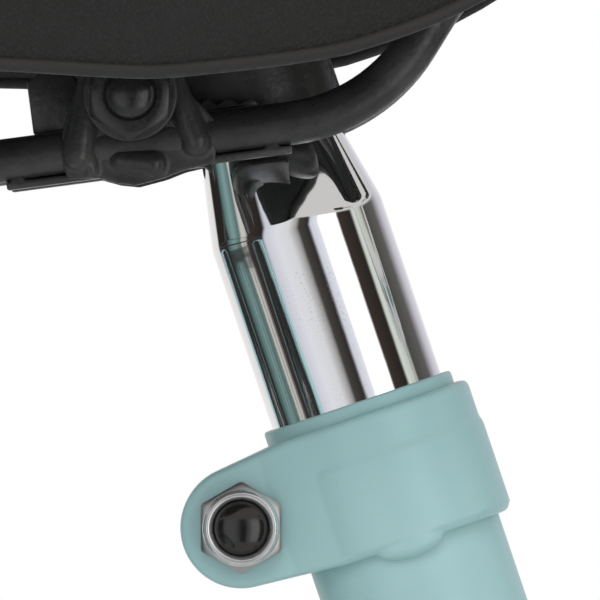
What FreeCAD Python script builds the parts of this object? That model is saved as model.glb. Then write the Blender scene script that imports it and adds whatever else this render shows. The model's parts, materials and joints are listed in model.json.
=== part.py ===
"""Adult tricycle: step-through frame, 24 inch wheels, single speed, rear basket, sprung comfort saddle.

The frame is +X forward, +Y left, +Z up, in millimetres. The origin is on the ground, midway
between the front and rear axles. Directions along a tube are measured from its lower end.
"""
import FreeCAD
import Part
import Sketcher
import math
import os

V = FreeCAD.Vector
UP = V(0, 0, 1)
LEFT = V(0, 1, 0)
FORWARD = V(1, 0, 0)
FIT = 0.05

SIZES = {
    "wheelbase": 1200,
    "track": 680,
    "tyre_section": 22.5,
    "tyre_wall": 3,
    "rim_seat": 254,
    "rim_lip": 6,
    "rim_depth": 11,
    "rim_half_width": 16,
    "rim_wall": 3.5,
    "flange_radius": 33,
    "flange_offset": 28,
    "flange_thickness": 3,
    "hub_barrel": 15,
    "spoke_radius": 1.0,
    "spoke_count": 36,
    "axle_radius": 5,
    "rear_axle_radius": 8,
    "crank_height": 290,
    "seat_tube_length": 440,
    "seat_tube_lean": 18.65,
    "seat_tube_radius": 15.9,
    "post_radius": 14.3,
    "post_length": 282,
    "post_bore": 11.5,
    "post_shoulder": 31,
    "post_taper": 15.5,
    "neck_radius": 11.1,
    "neck_bore": 9,
    "collar_radius": 18,
    "collar_height": 22.3,
    "collar_drop": 1.5,
    "ear_reach": 24.1,
    "ear_radius": 9.8,
    "ear_width": 21,
    "collar_slot": 3,
    "bolt_radius": 4,
    "nut_flats": 13,
    "nut_height": 6.5,
    "head_angle": 70,
    "fork_rake": 50,
    "fork_length": 370,
    "head_tube_length": 150,
    "head_tube_radius": 18,
    "head_tube_wall": 1.7,
    "steerer_radius": 12.7,
    "steerer_bore": 11.15,
    "quill_radius": 11.1,
    "cup_height": 12,
    "down_tube_radius": 17.5,
    "step_tube_radius": 14.3,
    "tube_wall": 1.6,
    "shell_radius": 20,
    "shell_half": 34,
    "shell_bore": 17,
    "chain_stay_radius": 9.5,
    "seat_stay_radius": 8,
    "cross_tube_radius": 12.7,
    "cross_tube_height": 385,
    "cross_tube_spread": 110,
    "cross_tube_half": 280,
    "plate_thickness": 4,
    "inner_plate_offset": 75,
    "outer_plate_offset": 262,
    "bearing_radius": 17.5,
    "bearing_width": 11,
    "ring_teeth": 44,
    "sprocket_teeth": 22,
    "chain_pitch": 12.7,
    "chain_plane": 45,
    "sprocket_thickness": 2.6,
    "crank_length": 165,
    "crank_axle_radius": 8.5,
    "pedal_length": 96,
    "pedal_width": 78,
    "pedal_height": 24,
    "drum_radius": 45,
    "drum_width": 22,
    "blade_radius": 12.5,
    "blade_spread": 48,
    "bar_radius": 11.1,
    "bar_width": 680,
    "bar_rise": 95,
    "bar_sweep": 140,
    "grip_radius": 15.5,
    "grip_length": 125,
    "fender_radius": 312,
    "fender_width": 60,
    "fender_wall": 1.2,
    "basket_length": 410,
    "basket_width": 500,
    "basket_floor": 440,
    "basket_depth": 240,
    "panel_thickness": 1.6,
    "rail_radius": 3.5,
    "rail_spread": 22,
    "rail_tilt": 7.5,
    "saddle_length": 280,
    "saddle_width": 250,
    "spring_radius": 15,
    "spring_wire": 2.2,
}


class Size:
    """A length with its value and the sheet expression that gives it, so that both stay together."""

    def __init__(self, value, text):
        self.value = float(value)
        self.text = text

    def __float__(self):
        return self.value

    def __add__(self, other):
        other = as_size(other)
        return Size(self.value + other.value, f"({self.text} + {other.text})")

    def __sub__(self, other):
        other = as_size(other)
        return Size(self.value - other.value, f"({self.text} - {other.text})")

    def __mul__(self, other):
        other = as_size(other)
        return Size(self.value * other.value, f"({self.text} * {other.text})")

    def __truediv__(self, other):
        other = as_size(other)
        return Size(self.value / other.value, f"({self.text} / {other.text})")

    def __neg__(self):
        return Size(-self.value, f"(0 - {self.text})")

    def __radd__(self, other):
        return as_size(other) + self

    def __rsub__(self, other):
        return as_size(other) - self

    def __rmul__(self, other):
        return as_size(other) * self


def as_size(number):
    """A plain number becomes a size whose text is that number."""
    if isinstance(number, Size):
        return number
    return Size(number, f"{number:.6f}")


def fill_sheet(document):
    """Write the driving sizes into the spreadsheet and return each one as a bound size."""
    table = document.addObject("Spreadsheet::Sheet", "Sizes")
    for row, (name, number) in enumerate(SIZES.items(), 1):
        table.set(f"A{row}", name)
        table.set(f"B{row}", str(number))
        table.setAlias(f"B{row}", name)
    document.recompute()
    return {name: Size(table.get(name), f"Sizes.{name}") for name in SIZES}


doc = FreeCAD.newDocument("AdultTricycle")
size = fill_sheet(doc)
nodes = {}


def number(name):
    """The plain value of a named size."""
    return float(size[name])


def node(item):
    """Register a finished sub-part; its Label names its file."""
    nodes[item.Label] = item
    return item


def bind(item, attribute, value):
    """Set a size on an object and tie it to the sheet."""
    value = as_size(value)
    setattr(item, attribute, float(value))
    if "Sizes." in value.text:
        item.setExpression(attribute, value.text)


def facing(origin, direction, turn=0.0):
    """Placement that puts local Z along direction at origin, turned about it by turn degrees."""
    rotation = FreeCAD.Rotation(UP, V(direction))
    return FreeCAD.Placement(V(origin), rotation.multiply(FreeCAD.Rotation(UP, turn)))


def framed(origin, along, normal):
    """Placement whose local X runs along a direction and whose local Z is the plate's normal."""
    along = V(along).normalize()
    normal = V(normal).normalize()
    side = normal.cross(along)
    rotation = FreeCAD.Rotation(along, side, normal, "ZXY")
    return FreeCAD.Placement(V(origin), rotation)


def arc_between(start, end, centre, clockwise):
    """Arc of a circle from start to end about centre, for a sketch."""
    radius = (start - centre).Length
    first = math.atan2(start.y - centre.y, start.x - centre.x)
    last = math.atan2(end.y - centre.y, end.x - centre.x)
    if clockwise:
        first, last = last, first
    circle = Part.Circle(centre, UP, radius)
    return Part.ArcOfCircle(circle, first, last)


def draw_outline(sketch, outline):
    """Closed outline of corners (x, y); a corner (x, y, cx, cy, turn) starts an arc about (cx, cy).

    turn is +1 for a counter-clockwise arc and -1 for a clockwise one. Every corner is held to the
    origin by its two distances, which are tied to the sheet.
    """
    count = len(outline)
    base = sketch.GeometryCount
    spots = [V(float(corner[0]), float(corner[1]), 0) for corner in outline]
    ends = []
    for index, corner in enumerate(outline):
        start = spots[index]
        end = spots[(index + 1) % count]
        if len(corner) == 5:
            centre = V(float(corner[2]), float(corner[3]), 0)
            clockwise = corner[4] < 0
            sketch.addGeometry(arc_between(start, end, centre, clockwise), False)
            ends.append((2, 1) if clockwise else (1, 2))
        else:
            sketch.addGeometry(Part.LineSegment(start, end), False)
            ends.append((1, 2))
    for index, corner in enumerate(outline):
        following = (index + 1) % count
        joint = Sketcher.Constraint("Coincident", base + index, ends[index][1], base + following,
            ends[following][0])
        sketch.addConstraint(joint)
        tie(sketch, "DistanceX", base + index, ends[index][0], corner[0])
        tie(sketch, "DistanceY", base + index, ends[index][0], corner[1])
        if len(corner) == 5:
            chord = spots[following] - spots[index]
            if abs(chord.y) >= abs(chord.x):
                tie(sketch, "DistanceX", base + index, 3, corner[2])
            else:
                tie(sketch, "DistanceY", base + index, 3, corner[3])


def tie(sketch, kind, geometry, point, value):
    """Distance of a sketch point from the origin along one axis, tied to the sheet."""
    value = as_size(value)
    row = sketch.addConstraint(Sketcher.Constraint(kind, -1, 1, geometry, point, float(value)))
    if "Sizes." in value.text:
        sketch.setExpression(f"Constraints[{row}]", value.text)


def draw_circle(sketch, x, y, radius):
    """Circle for a hole, tied to the sheet."""
    row = sketch.addGeometry(Part.Circle(V(float(x), float(y), 0), UP, float(as_size(radius))), False)
    tie(sketch, "DistanceX", row, 3, x)
    tie(sketch, "DistanceY", row, 3, y)
    radius = as_size(radius)
    held = sketch.addConstraint(Sketcher.Constraint("Radius", row, float(radius)))
    if "Sizes." in radius.text:
        sketch.setExpression(f"Constraints[{held}]", radius.text)


def new_body(label, plane):
    """Body with one sketch on one of its origin planes."""
    body = doc.addObject("PartDesign::Body", label)
    body.Label = label
    sketch = body.newObject("Sketcher::SketchObject", label + "_sketch")
    support = [item for item in body.Origin.OriginFeatures if item.Role == plane][0]
    sketch.AttachmentSupport = [(support, "")]
    sketch.MapMode = "FlatFace"
    return body, sketch


def turned(label, outline, placement):
    """Turned piece: its (radius, height) outline goes round local Z."""
    body, sketch = new_body(label, "XZ_Plane")
    draw_outline(sketch, outline)
    spin = body.newObject("PartDesign::Revolution", label + "_turn")
    spin.Profile = sketch
    spin.ReferenceAxis = (sketch, ["V_Axis"])
    spin.Angle = 360
    body.Placement = placement
    return body


def plate(label, outline, thickness, placement, holes=()):
    """Flat piece: its outline is padded evenly both ways from its middle plane, with round holes."""
    body, sketch = new_body(label, "XY_Plane")
    draw_outline(sketch, outline)
    for x, y, radius in holes:
        draw_circle(sketch, x, y, radius)
    pad = body.newObject("PartDesign::Pad", label + "_pad")
    pad.Profile = sketch
    pad.Midplane = True
    bind(pad, "Length", thickness)
    body.Placement = placement
    return body


def ring_outline(inner, outer, low, high):
    """Square-cornered ring section for turned()."""
    return [(inner, low), (outer, low), (outer, high), (inner, high)]


def rod(label, start, end, radius):
    """Solid round bar from start to end."""
    start, end = V(start), V(end)
    item = doc.addObject("Part::Cylinder", label)
    item.Label = label
    bind(item, "Radius", radius)
    item.Height = (end - start).Length
    item.Placement = facing(start, end - start)
    return item


def cut(label, base, tools):
    """Base with each tool taken away in turn."""
    for index, tool in enumerate(tools):
        step = doc.addObject("Part::Cut", f"{label}_cut{index}")
        step.Base = base
        step.Tool = tool
        base = step
    base.Label = label
    return base


def fused(label, pieces):
    """Pieces welded into one."""
    item = doc.addObject("Part::MultiFuse", label)
    item.Label = label
    item.Shapes = pieces
    return item


def group(label, pieces):
    """Like pieces that share one node, each still its own solid."""
    item = doc.addObject("Part::Compound", label)
    item.Label = label
    item.Links = pieces
    return item


def tube(label, start, end, radius, wall, trims=()):
    """Straight tube, coped by each solid in trims."""
    outside = rod(label + "_outside", start, end, radius)
    inside = rod(label + "_inside", start, end, as_size(radius) - wall)
    return cut(label, outside, [inside, *trims])


def shaped(label, shape):
    """Piece whose shape is a bent sweep or a pattern that no primitive makes."""
    item = doc.addObject("Part::Feature", label)
    item.Label = label
    item.Shape = shape
    return item


def bent_path(points, radius):
    """Wire of straight runs joined by tangent arcs; each arc shrinks to what its runs allow."""
    points = [V(point) for point in points]
    edges = []
    last = points[0]
    for before, corner, after in zip(points, points[1:], points[2:]):
        back = (before - corner).normalize()
        ahead = (after - corner).normalize()
        half = back.getAngle(ahead) / 2
        room = 0.45 * min((before - corner).Length, (after - corner).Length)
        reach = min(radius / math.tan(half), room)
        size_here = reach * math.tan(half)
        first = corner + back * reach
        final = corner + ahead * reach
        middle_way = (back + ahead).normalize()
        middle = corner + middle_way * (size_here / math.sin(half) - size_here)
        if (first - last).Length > 1e-6:
            edges.append(Part.LineSegment(last, first).toShape())
        edges.append(Part.Arc(first, middle, final).toShape())
        last = final
    edges.append(Part.LineSegment(last, points[-1]).toShape())
    return Part.Wire(edges)


def bar_along(points, bend, radius, bore=0.0):
    """Round bar or tube bent along points."""
    path = bent_path(points, bend)
    start = V(points[0])
    way = V(points[1]) - start
    solid = sweep_circle(path, start, way, float(as_size(radius)))
    if float(as_size(bore)) > 0:
        solid = solid.cut(sweep_circle(path, start, way, float(as_size(bore))))
    return solid


def sweep_circle(path, start, way, radius):
    """Circle of one radius swept along a path."""
    section = Part.Wire(Part.Circle(start, way, radius).toShape())
    return path.makePipeShell([section], True, False)


LEAN = math.radians(number("seat_tube_lean"))
SEAT = V(-math.sin(LEAN), 0, math.cos(LEAN))
SEAT_NORMAL = V(math.cos(LEAN), 0, math.sin(LEAN))
CRANK = V(0, 0, number("crank_height"))
FRONT_AXLE = V(number("wheelbase") / 2, 0, number("rim_seat") + 2 * number("tyre_section") - 1)
REAR_AXLE = V(-number("wheelbase") / 2, 0, FRONT_AXLE.z)
HEAD = math.radians(number("head_angle"))
STEER = V(-math.cos(HEAD), 0, math.sin(HEAD))
STEER_NORMAL = V(math.sin(HEAD), 0, math.cos(HEAD))
STEER_FOOT = FRONT_AXLE - STEER_NORMAL * number("fork_rake")
HEAD_BOTTOM = number("fork_length") + number("cup_height")
HEAD_TOP = HEAD_BOTTOM + number("head_tube_length")
CROSS_FRONT = REAR_AXLE.x + number("cross_tube_spread") / 2
CROSS_REAR = REAR_AXLE.x - number("cross_tube_spread") / 2
SIDES = (("left", 1), ("right", -1))
BASKET_FRONT = REAR_AXLE.x + 185
BASKET_BAR_RADIUS = 3.2
BASKET_PEG_PLACE = 150
BASKET_PEG_RADIUS = 8


def seat_point(up, ahead=0.0, left=0.0):
    """Place measured from the top of the seat tube, along it, square to it and to the left."""
    top = CRANK + SEAT * number("seat_tube_length")
    return top + SEAT * up + SEAT_NORMAL * ahead + LEFT * left


def steer_point(up, left=0.0):
    """Place on the steering axis, measured from the point nearest the front axle."""
    return STEER_FOOT + STEER * up + LEFT * left


def side_plane(origin, along=FORWARD):
    """Placement of a plate that stands fore and aft, its local X along the given direction."""
    along = V(along)
    return framed(origin, along, V(along.z, 0, -along.x).cross(along))


def hexagon(flats):
    """Corners of a nut."""
    corner = as_size(flats) / math.sqrt(3)
    return [(corner * math.cos(math.radians(60 * k)),
        corner * math.sin(math.radians(60 * k))) for k in range(6)]


def nut(label, centre, direction, thickness, bore, flats=size["nut_flats"]):
    """Hexagon nut with its round bore."""
    placement = facing(centre, direction, 30)
    return plate(label, hexagon(flats), thickness, placement, [(0, 0, bore)])


def slot_box(label, origin, along, reach, width, height):
    """Cutter for a saw slot behind a clamp: it runs back from the axis."""
    item = doc.addObject("Part::Box", label)
    bind(item, "Length", reach)
    bind(item, "Width", width)
    bind(item, "Height", height)
    across = LEFT * (-float(as_size(width)) / 2)
    item.Placement = framed(origin + across, SEAT_NORMAL * -1, along)
    item.Placement = FreeCAD.Placement(V(origin) - across, item.Placement.Rotation)
    return item


def build_frame():
    """Brazed steel frame: shell, seat tube, head tube, two main tubes, stays and the rear carrier."""
    shell_end = LEFT * number("shell_half")
    shell = rod("shell_outside", CRANK - shell_end, CRANK + shell_end, size["shell_radius"])
    bore = rod("shell_inside", CRANK - shell_end, CRANK + shell_end, size["shell_bore"])
    node(cut("bottom_bracket_shell", shell, [bore]))
    shell_cope = rod("shell_cope", CRANK - shell_end, CRANK + shell_end, size["shell_radius"])

    top = seat_point(0.5)
    seat_cope = rod("seat_tube_cope", CRANK, top, size["seat_tube_radius"])
    seat_slot = slot_box("seat_tube_slot", seat_point(-34), SEAT, 30, size["collar_slot"], 40)
    seat_wall = size["seat_tube_radius"] - size["post_radius"] - FIT
    node(tube("seat_tube", CRANK, top, size["seat_tube_radius"], seat_wall, [shell_cope, seat_slot]))

    head_low, head_high = steer_point(HEAD_BOTTOM), steer_point(HEAD_TOP)
    head_cope = rod("head_tube_cope", head_low, head_high, size["head_tube_radius"])
    node(tube("head_tube", head_low, head_high, size["head_tube_radius"], size["head_tube_wall"]))

    wall = size["tube_wall"]
    down_high = steer_point(HEAD_BOTTOM + 26)
    down_cope = rod("down_tube_cope", down_high, CRANK, size["down_tube_radius"])
    node(tube("down_tube", down_high, CRANK, size["down_tube_radius"], wall,
        [head_cope, shell_cope, seat_cope]))
    step_low = CRANK + SEAT * 190
    step_high = steer_point(HEAD_TOP - 24)
    node(tube("step_tube", step_high, step_low, size["step_tube_radius"], wall,
        [head_cope, seat_cope, down_cope]))
    build_rear(shell_cope, seat_cope)


def build_rear(shell_cope, seat_cope):
    """Two cross tubes, the four bearing plates under them and the stays that carry them."""
    height = number("cross_tube_height")
    half = number("cross_tube_half")
    radius = size["cross_tube_radius"]
    ends = [(V(x, -half, height), V(x, half, height)) for x in (CROSS_FRONT, CROSS_REAR)]
    copes = [rod(f"cross_cope_{k}", low, high, radius) for k, (low, high) in enumerate(ends)]
    tubes = [tube(f"cross_tube_{k}", low, high, radius, 1.6) for k, (low, high) in enumerate(ends)]

    reach = size["cross_tube_spread"] / 2 + 14
    low = -22.0
    rise = size["cross_tube_height"] - REAR_AXLE.z
    outline = [(-reach, rise), (-reach * 0.45, low), (reach * 0.45, low), (reach, rise)]
    plates = []
    for side_name, side in SIDES:
        for place in ("inner", "outer"):
            middle = REAR_AXLE + LEFT * (side * number(place + "_plate_offset"))
            item = plate(
                f"axle_plate_{place}_{side_name}", outline, size["plate_thickness"], side_plane(middle),
                [(0, 0, size["bearing_radius"])])
            plates.append(cut(f"coped_plate_{place}_{side_name}", item, copes))
    node(group("axle_carrier", [*tubes, *plates]))

    bearings = []
    for side_name, side in SIDES:
        for place in ("inner", "outer"):
            middle = REAR_AXLE + LEFT * (side * number(place + "_plate_offset"))
            width = size["bearing_width"] / 2
            section = ring_outline(size["rear_axle_radius"] + FIT, size["bearing_radius"], -width, width)
            bearings.append(turned(f"axle_bearing_{place}_{side_name}", section, facing(middle, LEFT)))
    node(group("axle_bearings", bearings))

    chain_stays, seat_stays = [], []
    plate_front = CROSS_FRONT + 14
    for side_name, side in SIDES:
        across = side * number("inner_plate_offset")
        start = CRANK + LEFT * (side * 20)
        end = V(plate_front - 6, across, REAR_AXLE.z + 52)
        stay = tube(f"chain_stay_{side_name}", start, end, size["chain_stay_radius"], 1.4, [shell_cope])
        plate_cope = plate(
            f"plate_cope_{side_name}", outline, size["plate_thickness"],
            side_plane(REAR_AXLE + LEFT * across))
        chain_stays.append(cut(f"chain_stay_trimmed_{side_name}", stay, [plate_cope]))
        start = CRANK + SEAT * 250 + LEFT * (side * 9)
        end = V(CROSS_FRONT, across, height)
        seat_stays.append(tube(f"seat_stay_{side_name}", start, end, size["seat_stay_radius"], 1.2,
            [seat_cope, copes[0]]))
    node(group("rear_stays", [*chain_stays, *seat_stays]))

    section = ring_outline(size["crank_axle_radius"] + FIT, size["shell_bore"], -12, 0)
    cups = [turned(f"crank_bearing_{name}", section, facing(CRANK + LEFT * (side * number("shell_half")),
        LEFT * side))
            for name, side in SIDES]
    node(group("crank_bearings", cups))
    lip = size["head_tube_radius"] + 1.5
    section = [
        (size["steerer_radius"] + FIT, -10), (size["head_tube_radius"] - size["head_tube_wall"], -10),
        (size["head_tube_radius"] - size["head_tube_wall"], 0), (lip, 0),
        (lip, size["cup_height"] - 0.4), (size["steerer_radius"] + FIT, size["cup_height"] - 0.4)]
    low_cup = turned("lower_cup", section, facing(steer_point(HEAD_BOTTOM), STEER * -1))
    high_cup = turned("upper_cup", section, facing(steer_point(HEAD_TOP), STEER))
    node(group("headset_cups", [low_cup, high_cup]))


def build_seat_collar():
    """Clamp collar at the top of the seat tube, with a split ear behind, its bolt and its cap nut."""
    low = -(size["collar_drop"] + size["collar_height"])
    ring = turned("collar_ring", ring_outline(size["seat_tube_radius"], size["collar_radius"], low,
        -size["collar_drop"]),
                  facing(seat_point(0), SEAT))
    middle = -12.6
    reach, radius = size["ear_reach"], size["ear_radius"]
    outline = [(0, middle - radius), (0, middle + radius), (-reach, middle + radius, -reach, middle, 1),
               (-reach, middle - radius)]
    ear = plate("collar_ear", outline, size["ear_width"], side_plane(seat_point(0), SEAT_NORMAL),
                [(-reach, middle, size["bolt_radius"] + 0.2)])
    inside = rod("collar_inside", seat_point(-30), seat_point(5), size["seat_tube_radius"])
    slot = slot_box("collar_slot_cut", seat_point(-40), SEAT, 60, size["collar_slot"], 60)
    node(cut("seat_collar", fused("collar_weldment", [ring, ear]), [inside, slot]))

    bolt_centre = seat_point(middle, -number("ear_reach"))
    half = number("ear_width") / 2
    shank = rod("collar_bolt_shank", bolt_centre - LEFT * (half + 5), bolt_centre + LEFT * (half + 0.5),
        size["bolt_radius"])
    head = plate("collar_bolt_head", hexagon(size["nut_flats"]), 5.3,
        facing(bolt_centre + LEFT * (half + 2.65), LEFT, 30))
    node(fused("collar_bolt", [shank, head]))
    thickness = size["nut_height"]
    cap_nut = nut("collar_nut_hexagon", bolt_centre - LEFT * (half + number("nut_height") / 2), LEFT,
        thickness,
                  size["bolt_radius"])
    cap = turned("collar_nut_cap", [(0, 0), (5, 0), (5, 0.8), (3.6, 2.2), (0, 2.8)],
                 facing(bolt_centre - LEFT * (half + number("nut_height")), LEFT * -1))
    node(fused("collar_nut", [cap_nut, cap]))


CLAMP_UP = 58.9
CLAMP_BACK = 18.6
CLAMP_AT = seat_point(CLAMP_UP, -CLAMP_BACK)
TILT = math.radians(number("rail_tilt"))
RAIL = V(math.cos(TILT), 0, math.sin(TILT))
RAIL_DROP = 8.0


def from_clamp(ahead, left, up):
    """Place measured level from the saddle clamp's bolt."""
    return CLAMP_AT + V(ahead, left, up)


def rail_point(along, left=0.0, above=0.0):
    """Place in the clamp's own tilted frame, measured from its bolt."""
    return CLAMP_AT + RAIL * along + LEFT * left + V(-RAIL.z, 0, RAIL.x) * above


def build_seat_post():
    """Chromed post with a swaged neck, the clamp band on its neck and the clamp bolt through it."""
    top = CLAMP_UP + 11
    foot = top - size["post_length"]
    step = size["post_bore"] - size["neck_bore"]
    section = [
        (size["post_bore"], foot), (size["post_radius"], foot),
        (size["post_radius"], size["post_shoulder"]),
        (size["neck_radius"], size["post_shoulder"] + size["post_taper"]), (size["neck_radius"], top),
        (size["neck_bore"], top), (size["neck_bore"], size["post_shoulder"] + size["post_taper"]),
        (size["post_bore"], size["post_shoulder"] - step)]
    node(turned("seat_post", section, facing(seat_point(0), SEAT)))

    neck = size["neck_radius"]
    ring = turned("band_ring", ring_outline(neck, neck + 2.6, CLAMP_UP - 10, CLAMP_UP + 10),
        facing(seat_point(0), SEAT))
    outline = [(0, -9), (0, 9), (-CLAMP_BACK, 9, -CLAMP_BACK, 0, 1), (-CLAMP_BACK, -9)]
    lug = plate("band_lug", outline, 27.8, side_plane(seat_point(CLAMP_UP), SEAT_NORMAL),
                [(-CLAMP_BACK, 0, size["bolt_radius"])])
    inside = rod("band_inside", seat_point(30), seat_point(90), neck)
    slot = slot_box("band_slot", seat_point(40), SEAT, 11, 2, 40)
    node(cut("clamp_band", fused("band_weldment", [ring, lug]), [inside, slot]))

    end = 33.5
    bolt = rod("clamp_bolt_shank", CLAMP_AT - LEFT * end, CLAMP_AT + LEFT * end, size["bolt_radius"])
    nuts = [nut(f"clamp_nut_{name}", CLAMP_AT + LEFT * (side * 30.4), LEFT, 5.6,
        size["bolt_radius"]) for name, side in SIDES]
    node(group("clamp_bolt", [bolt, *nuts]))


def build_saddle_clamp():
    """Two inner jaws and two outer plates that grip the rails."""
    drop = -RAIL_DROP
    jaws = []
    for name, side in SIDES:
        rail = rod(f"rail_groove_{name}", rail_point(-60, side * number("rail_spread"), drop),
                   rail_point(60, side * number("rail_spread"), drop), size["rail_radius"] + FIT)
        hole = [(0, 0, size["bolt_radius"] + 0.1)]
        inner_outline = [(-20.5, -12), (25.5, -12), (25.5, -4), (8, 7), (-8, 7), (-20.5, -4)]
        middle = side * 18.0
        inner = plate(f"inner_jaw_{name}", inner_outline, 7.6, side_plane(rail_point(0, middle), RAIL),
            hole)
        jaws.append(cut(f"inner_jaw_cut_{name}", inner, [rail]))
        outer_outline = [(-10, -13), (1, -14), (14, -11), (14, -4), (8, 4), (6, 8), (-6, 8), (-8, 3),
            (-11, -7)]
        outer = plate(f"outer_jaw_{name}", outer_outline, 5, side_plane(rail_point(0, side * 24.7), RAIL),
            hole)
        jaws.append(cut(f"outer_jaw_cut_{name}", outer, [rail]))
    node(group("saddle_clamp", jaws))


def saddle_plan(inset):
    """Half-and-half plan of the saddle: broad rear, narrow nose."""
    length, width = size["saddle_length"], size["saddle_width"]
    half = [(-0.43, 0.18), (-0.40, 0.38), (-0.30, 0.49), (-0.15, 0.46), (0.05, 0.30), (0.20, 0.16),
        (0.42, 0.10), (0.555, 0.06)]
    upper = [(length * x - (inset if x > 0 else -inset), width * y - inset * min(1.0, 6 * y)) for x,
        y in half]
    lower = [(x, -y) for x, y in reversed(upper)]
    return upper[::-1] + lower[::-1]


def build_saddle():
    """Padded saddle on a moulded base, two bent rails and two coil springs at the rear."""
    flat = framed(from_clamp(0, 0, 39.5), FORWARD, UP)
    pad = plate("cushion_block", saddle_plan(0), 71, flat)
    hollow = plate("cushion_hollow", saddle_plan(11), 40, framed(from_clamp(0, 0, 12), FORWARD, UP))
    node(cut("saddle_cushion", pad, [hollow]))
    node(plate("saddle_base", saddle_plan(12), 3, framed(from_clamp(0, 0, 30.4), FORWARD, UP)))

    rails, springs = [], []
    for name, side in SIDES:
        out = side * number("rail_spread")
        spring_y = side * 48
        rear = CLAMP_AT + V(-84, spring_y, -19.1)
        corner = rail_point(-55, out, -RAIL_DROP)
        bend = rail_point(39.4, out, -RAIL_DROP)
        rise = bend + V(0.524, 0, 0.852) * 30
        nose = V(bend.x + 55, side * 7, CLAMP_AT.z + 25)
        rails.append(shaped(f"rail_{name}", bar_along([rear, corner, bend, rise, nose], 24,
            size["rail_radius"])))
        foot = CLAMP_AT + V(-80, spring_y, -12.5)
        coil = Part.makeHelix(8.4, 37, number("spring_radius"))
        wire = Part.Wire(coil.Edges)
        ring = Part.Wire(Part.Circle(V(number("spring_radius"), 0, 0), LEFT,
            number("spring_wire")).toShape())
        spring = wire.makePipeShell([ring], True, True)
        spring.translate(foot)
        springs.append(shaped(f"spring_{name}", spring))
    node(group("saddle_rails", rails))
    node(group("saddle_springs", springs))


def wheel_parts(name, centre, bore, half_barrel):
    """One spoked wheel: tyre, rim, spokes with nipples, and hub, all about a sideways axis."""
    place = facing(centre, LEFT)
    seat = size["rim_seat"]
    lip = seat + size["rim_lip"]
    section = size["tyre_section"]
    ring = seat + section - 1
    inner = section - size["tyre_wall"]
    half = size["rim_half_width"]
    bead = half - size["rim_wall"] - 0.2
    outer_reach = math.sqrt(float(section) ** 2 - (float(ring) - float(lip) - 1) ** 2)
    shoulder = seat + 10
    inner_reach = math.sqrt(float(inner) ** 2 - (float(ring) - float(shoulder)) ** 2)
    tyre = [
        (lip + 1, -outer_reach, ring, 0, 1), (lip + 1, outer_reach), (lip + 1, bead), (seat + 0.2, bead),
        (seat + 0.2, bead - 4.2), (lip + 2.6, bead - 3.3), (shoulder, inner_reach, ring, 0, -1),
        (shoulder, -inner_reach), (lip + 2.6, 3.3 - bead), (seat + 0.2, 4.2 - bead), (seat + 0.2, -bead),
        (lip + 1, -bead)]
    node(turned(f"{name}_tyre", tyre, place))

    well = seat - 4.5
    floor = well - size["rim_wall"]
    wall = half - size["rim_wall"]
    rim = [
        (lip, half), (floor + 5, half), (floor, half - 6.5), (floor, -(half - 6.5)), (floor + 5, -half),
        (lip, -half),
        (lip, -wall), (seat, -wall), (seat - 1.5, -wall + 3.5), (well, -wall + 5.5), (well, wall - 5.5),
        (seat - 1.5, wall - 3.5), (seat, wall), (lip, wall)]
    node(turned(f"{name}_rim", rim, place))

    flange, offset, thick = size["flange_radius"], size["flange_offset"], size["flange_thickness"] / 2
    barrel = size["hub_barrel"]
    hub = [
        (bore + FIT, -half_barrel), (barrel, -half_barrel), (barrel, -(offset + thick)),
        (flange, -(offset + thick)),
        (flange, -(offset - thick)), (barrel, -(offset - thick)), (barrel, offset - thick),
        (flange, offset - thick),
        (flange, offset + thick), (barrel, offset + thick), (barrel, half_barrel),
        (bore + FIT, half_barrel)]
    node(turned(f"{name}_hub", hub, place))
    node(shaped(f"{name}_spokes", spokes(centre, float(floor))))


def spokes(centre, rim_floor):
    """Crossed spokes, each with its nipple, laced from both faces of both flanges."""
    count = int(number("spoke_count"))
    head_circle = number("flange_radius") - 4
    radius = number("spoke_radius")
    nipple, nipple_length = 2.4, 12
    pieces = []
    for index in range(count):
        side = 1 if index % 2 == 0 else -1
        lean = 1 if (index // 2) % 2 == 0 else -1
        rim_angle = 2 * math.pi * index / count
        hub_angle = rim_angle + lean * math.radians(60)
        lean_room = 1.4 if lean > 0 else 0.0
        stand = number("flange_thickness") / 2 + radius + FIT + lean_room
        hub_y = side * (number("flange_offset") + lean * stand)
        rim_y = side * (3.0 + lean * 1.5)
        start = V(head_circle * math.cos(hub_angle), hub_y, head_circle * math.sin(hub_angle))
        reach = rim_floor - 0.6
        end = V(reach * math.cos(rim_angle), rim_y, reach * math.sin(rim_angle))
        length = (end - start).Length
        section = Part.makePolygon([
            V(0, 0, 0), V(radius, 0, 0), V(radius, 0, length - nipple_length),
            V(nipple, 0, length - nipple_length),
            V(nipple, 0, length), V(0, 0, length), V(0, 0, 0)])
        spoke = Part.Face(section).revolve(V(0, 0, 0), UP, 360)
        spoke.Placement = facing(centre + start, end - start)
        pieces.append(spoke)
    return Part.makeCompound(pieces)


def build_front_wheel():
    """Front wheel and the axle that the fork holds."""
    wheel_parts("front", FRONT_AXLE, size["axle_radius"], 43.0)
    half = number("blade_spread") + 12
    axle = rod("front_axle_bar", FRONT_AXLE - LEFT * half, FRONT_AXLE + LEFT * half, size["axle_radius"])
    nuts = [nut(f"front_axle_nut_{name}", FRONT_AXLE + LEFT * (side * (number("blade_spread") + 6.4)),
        LEFT, 7,
                size["axle_radius"]) for name, side in SIDES]
    node(group("front_axle", [axle, *nuts]))


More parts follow.
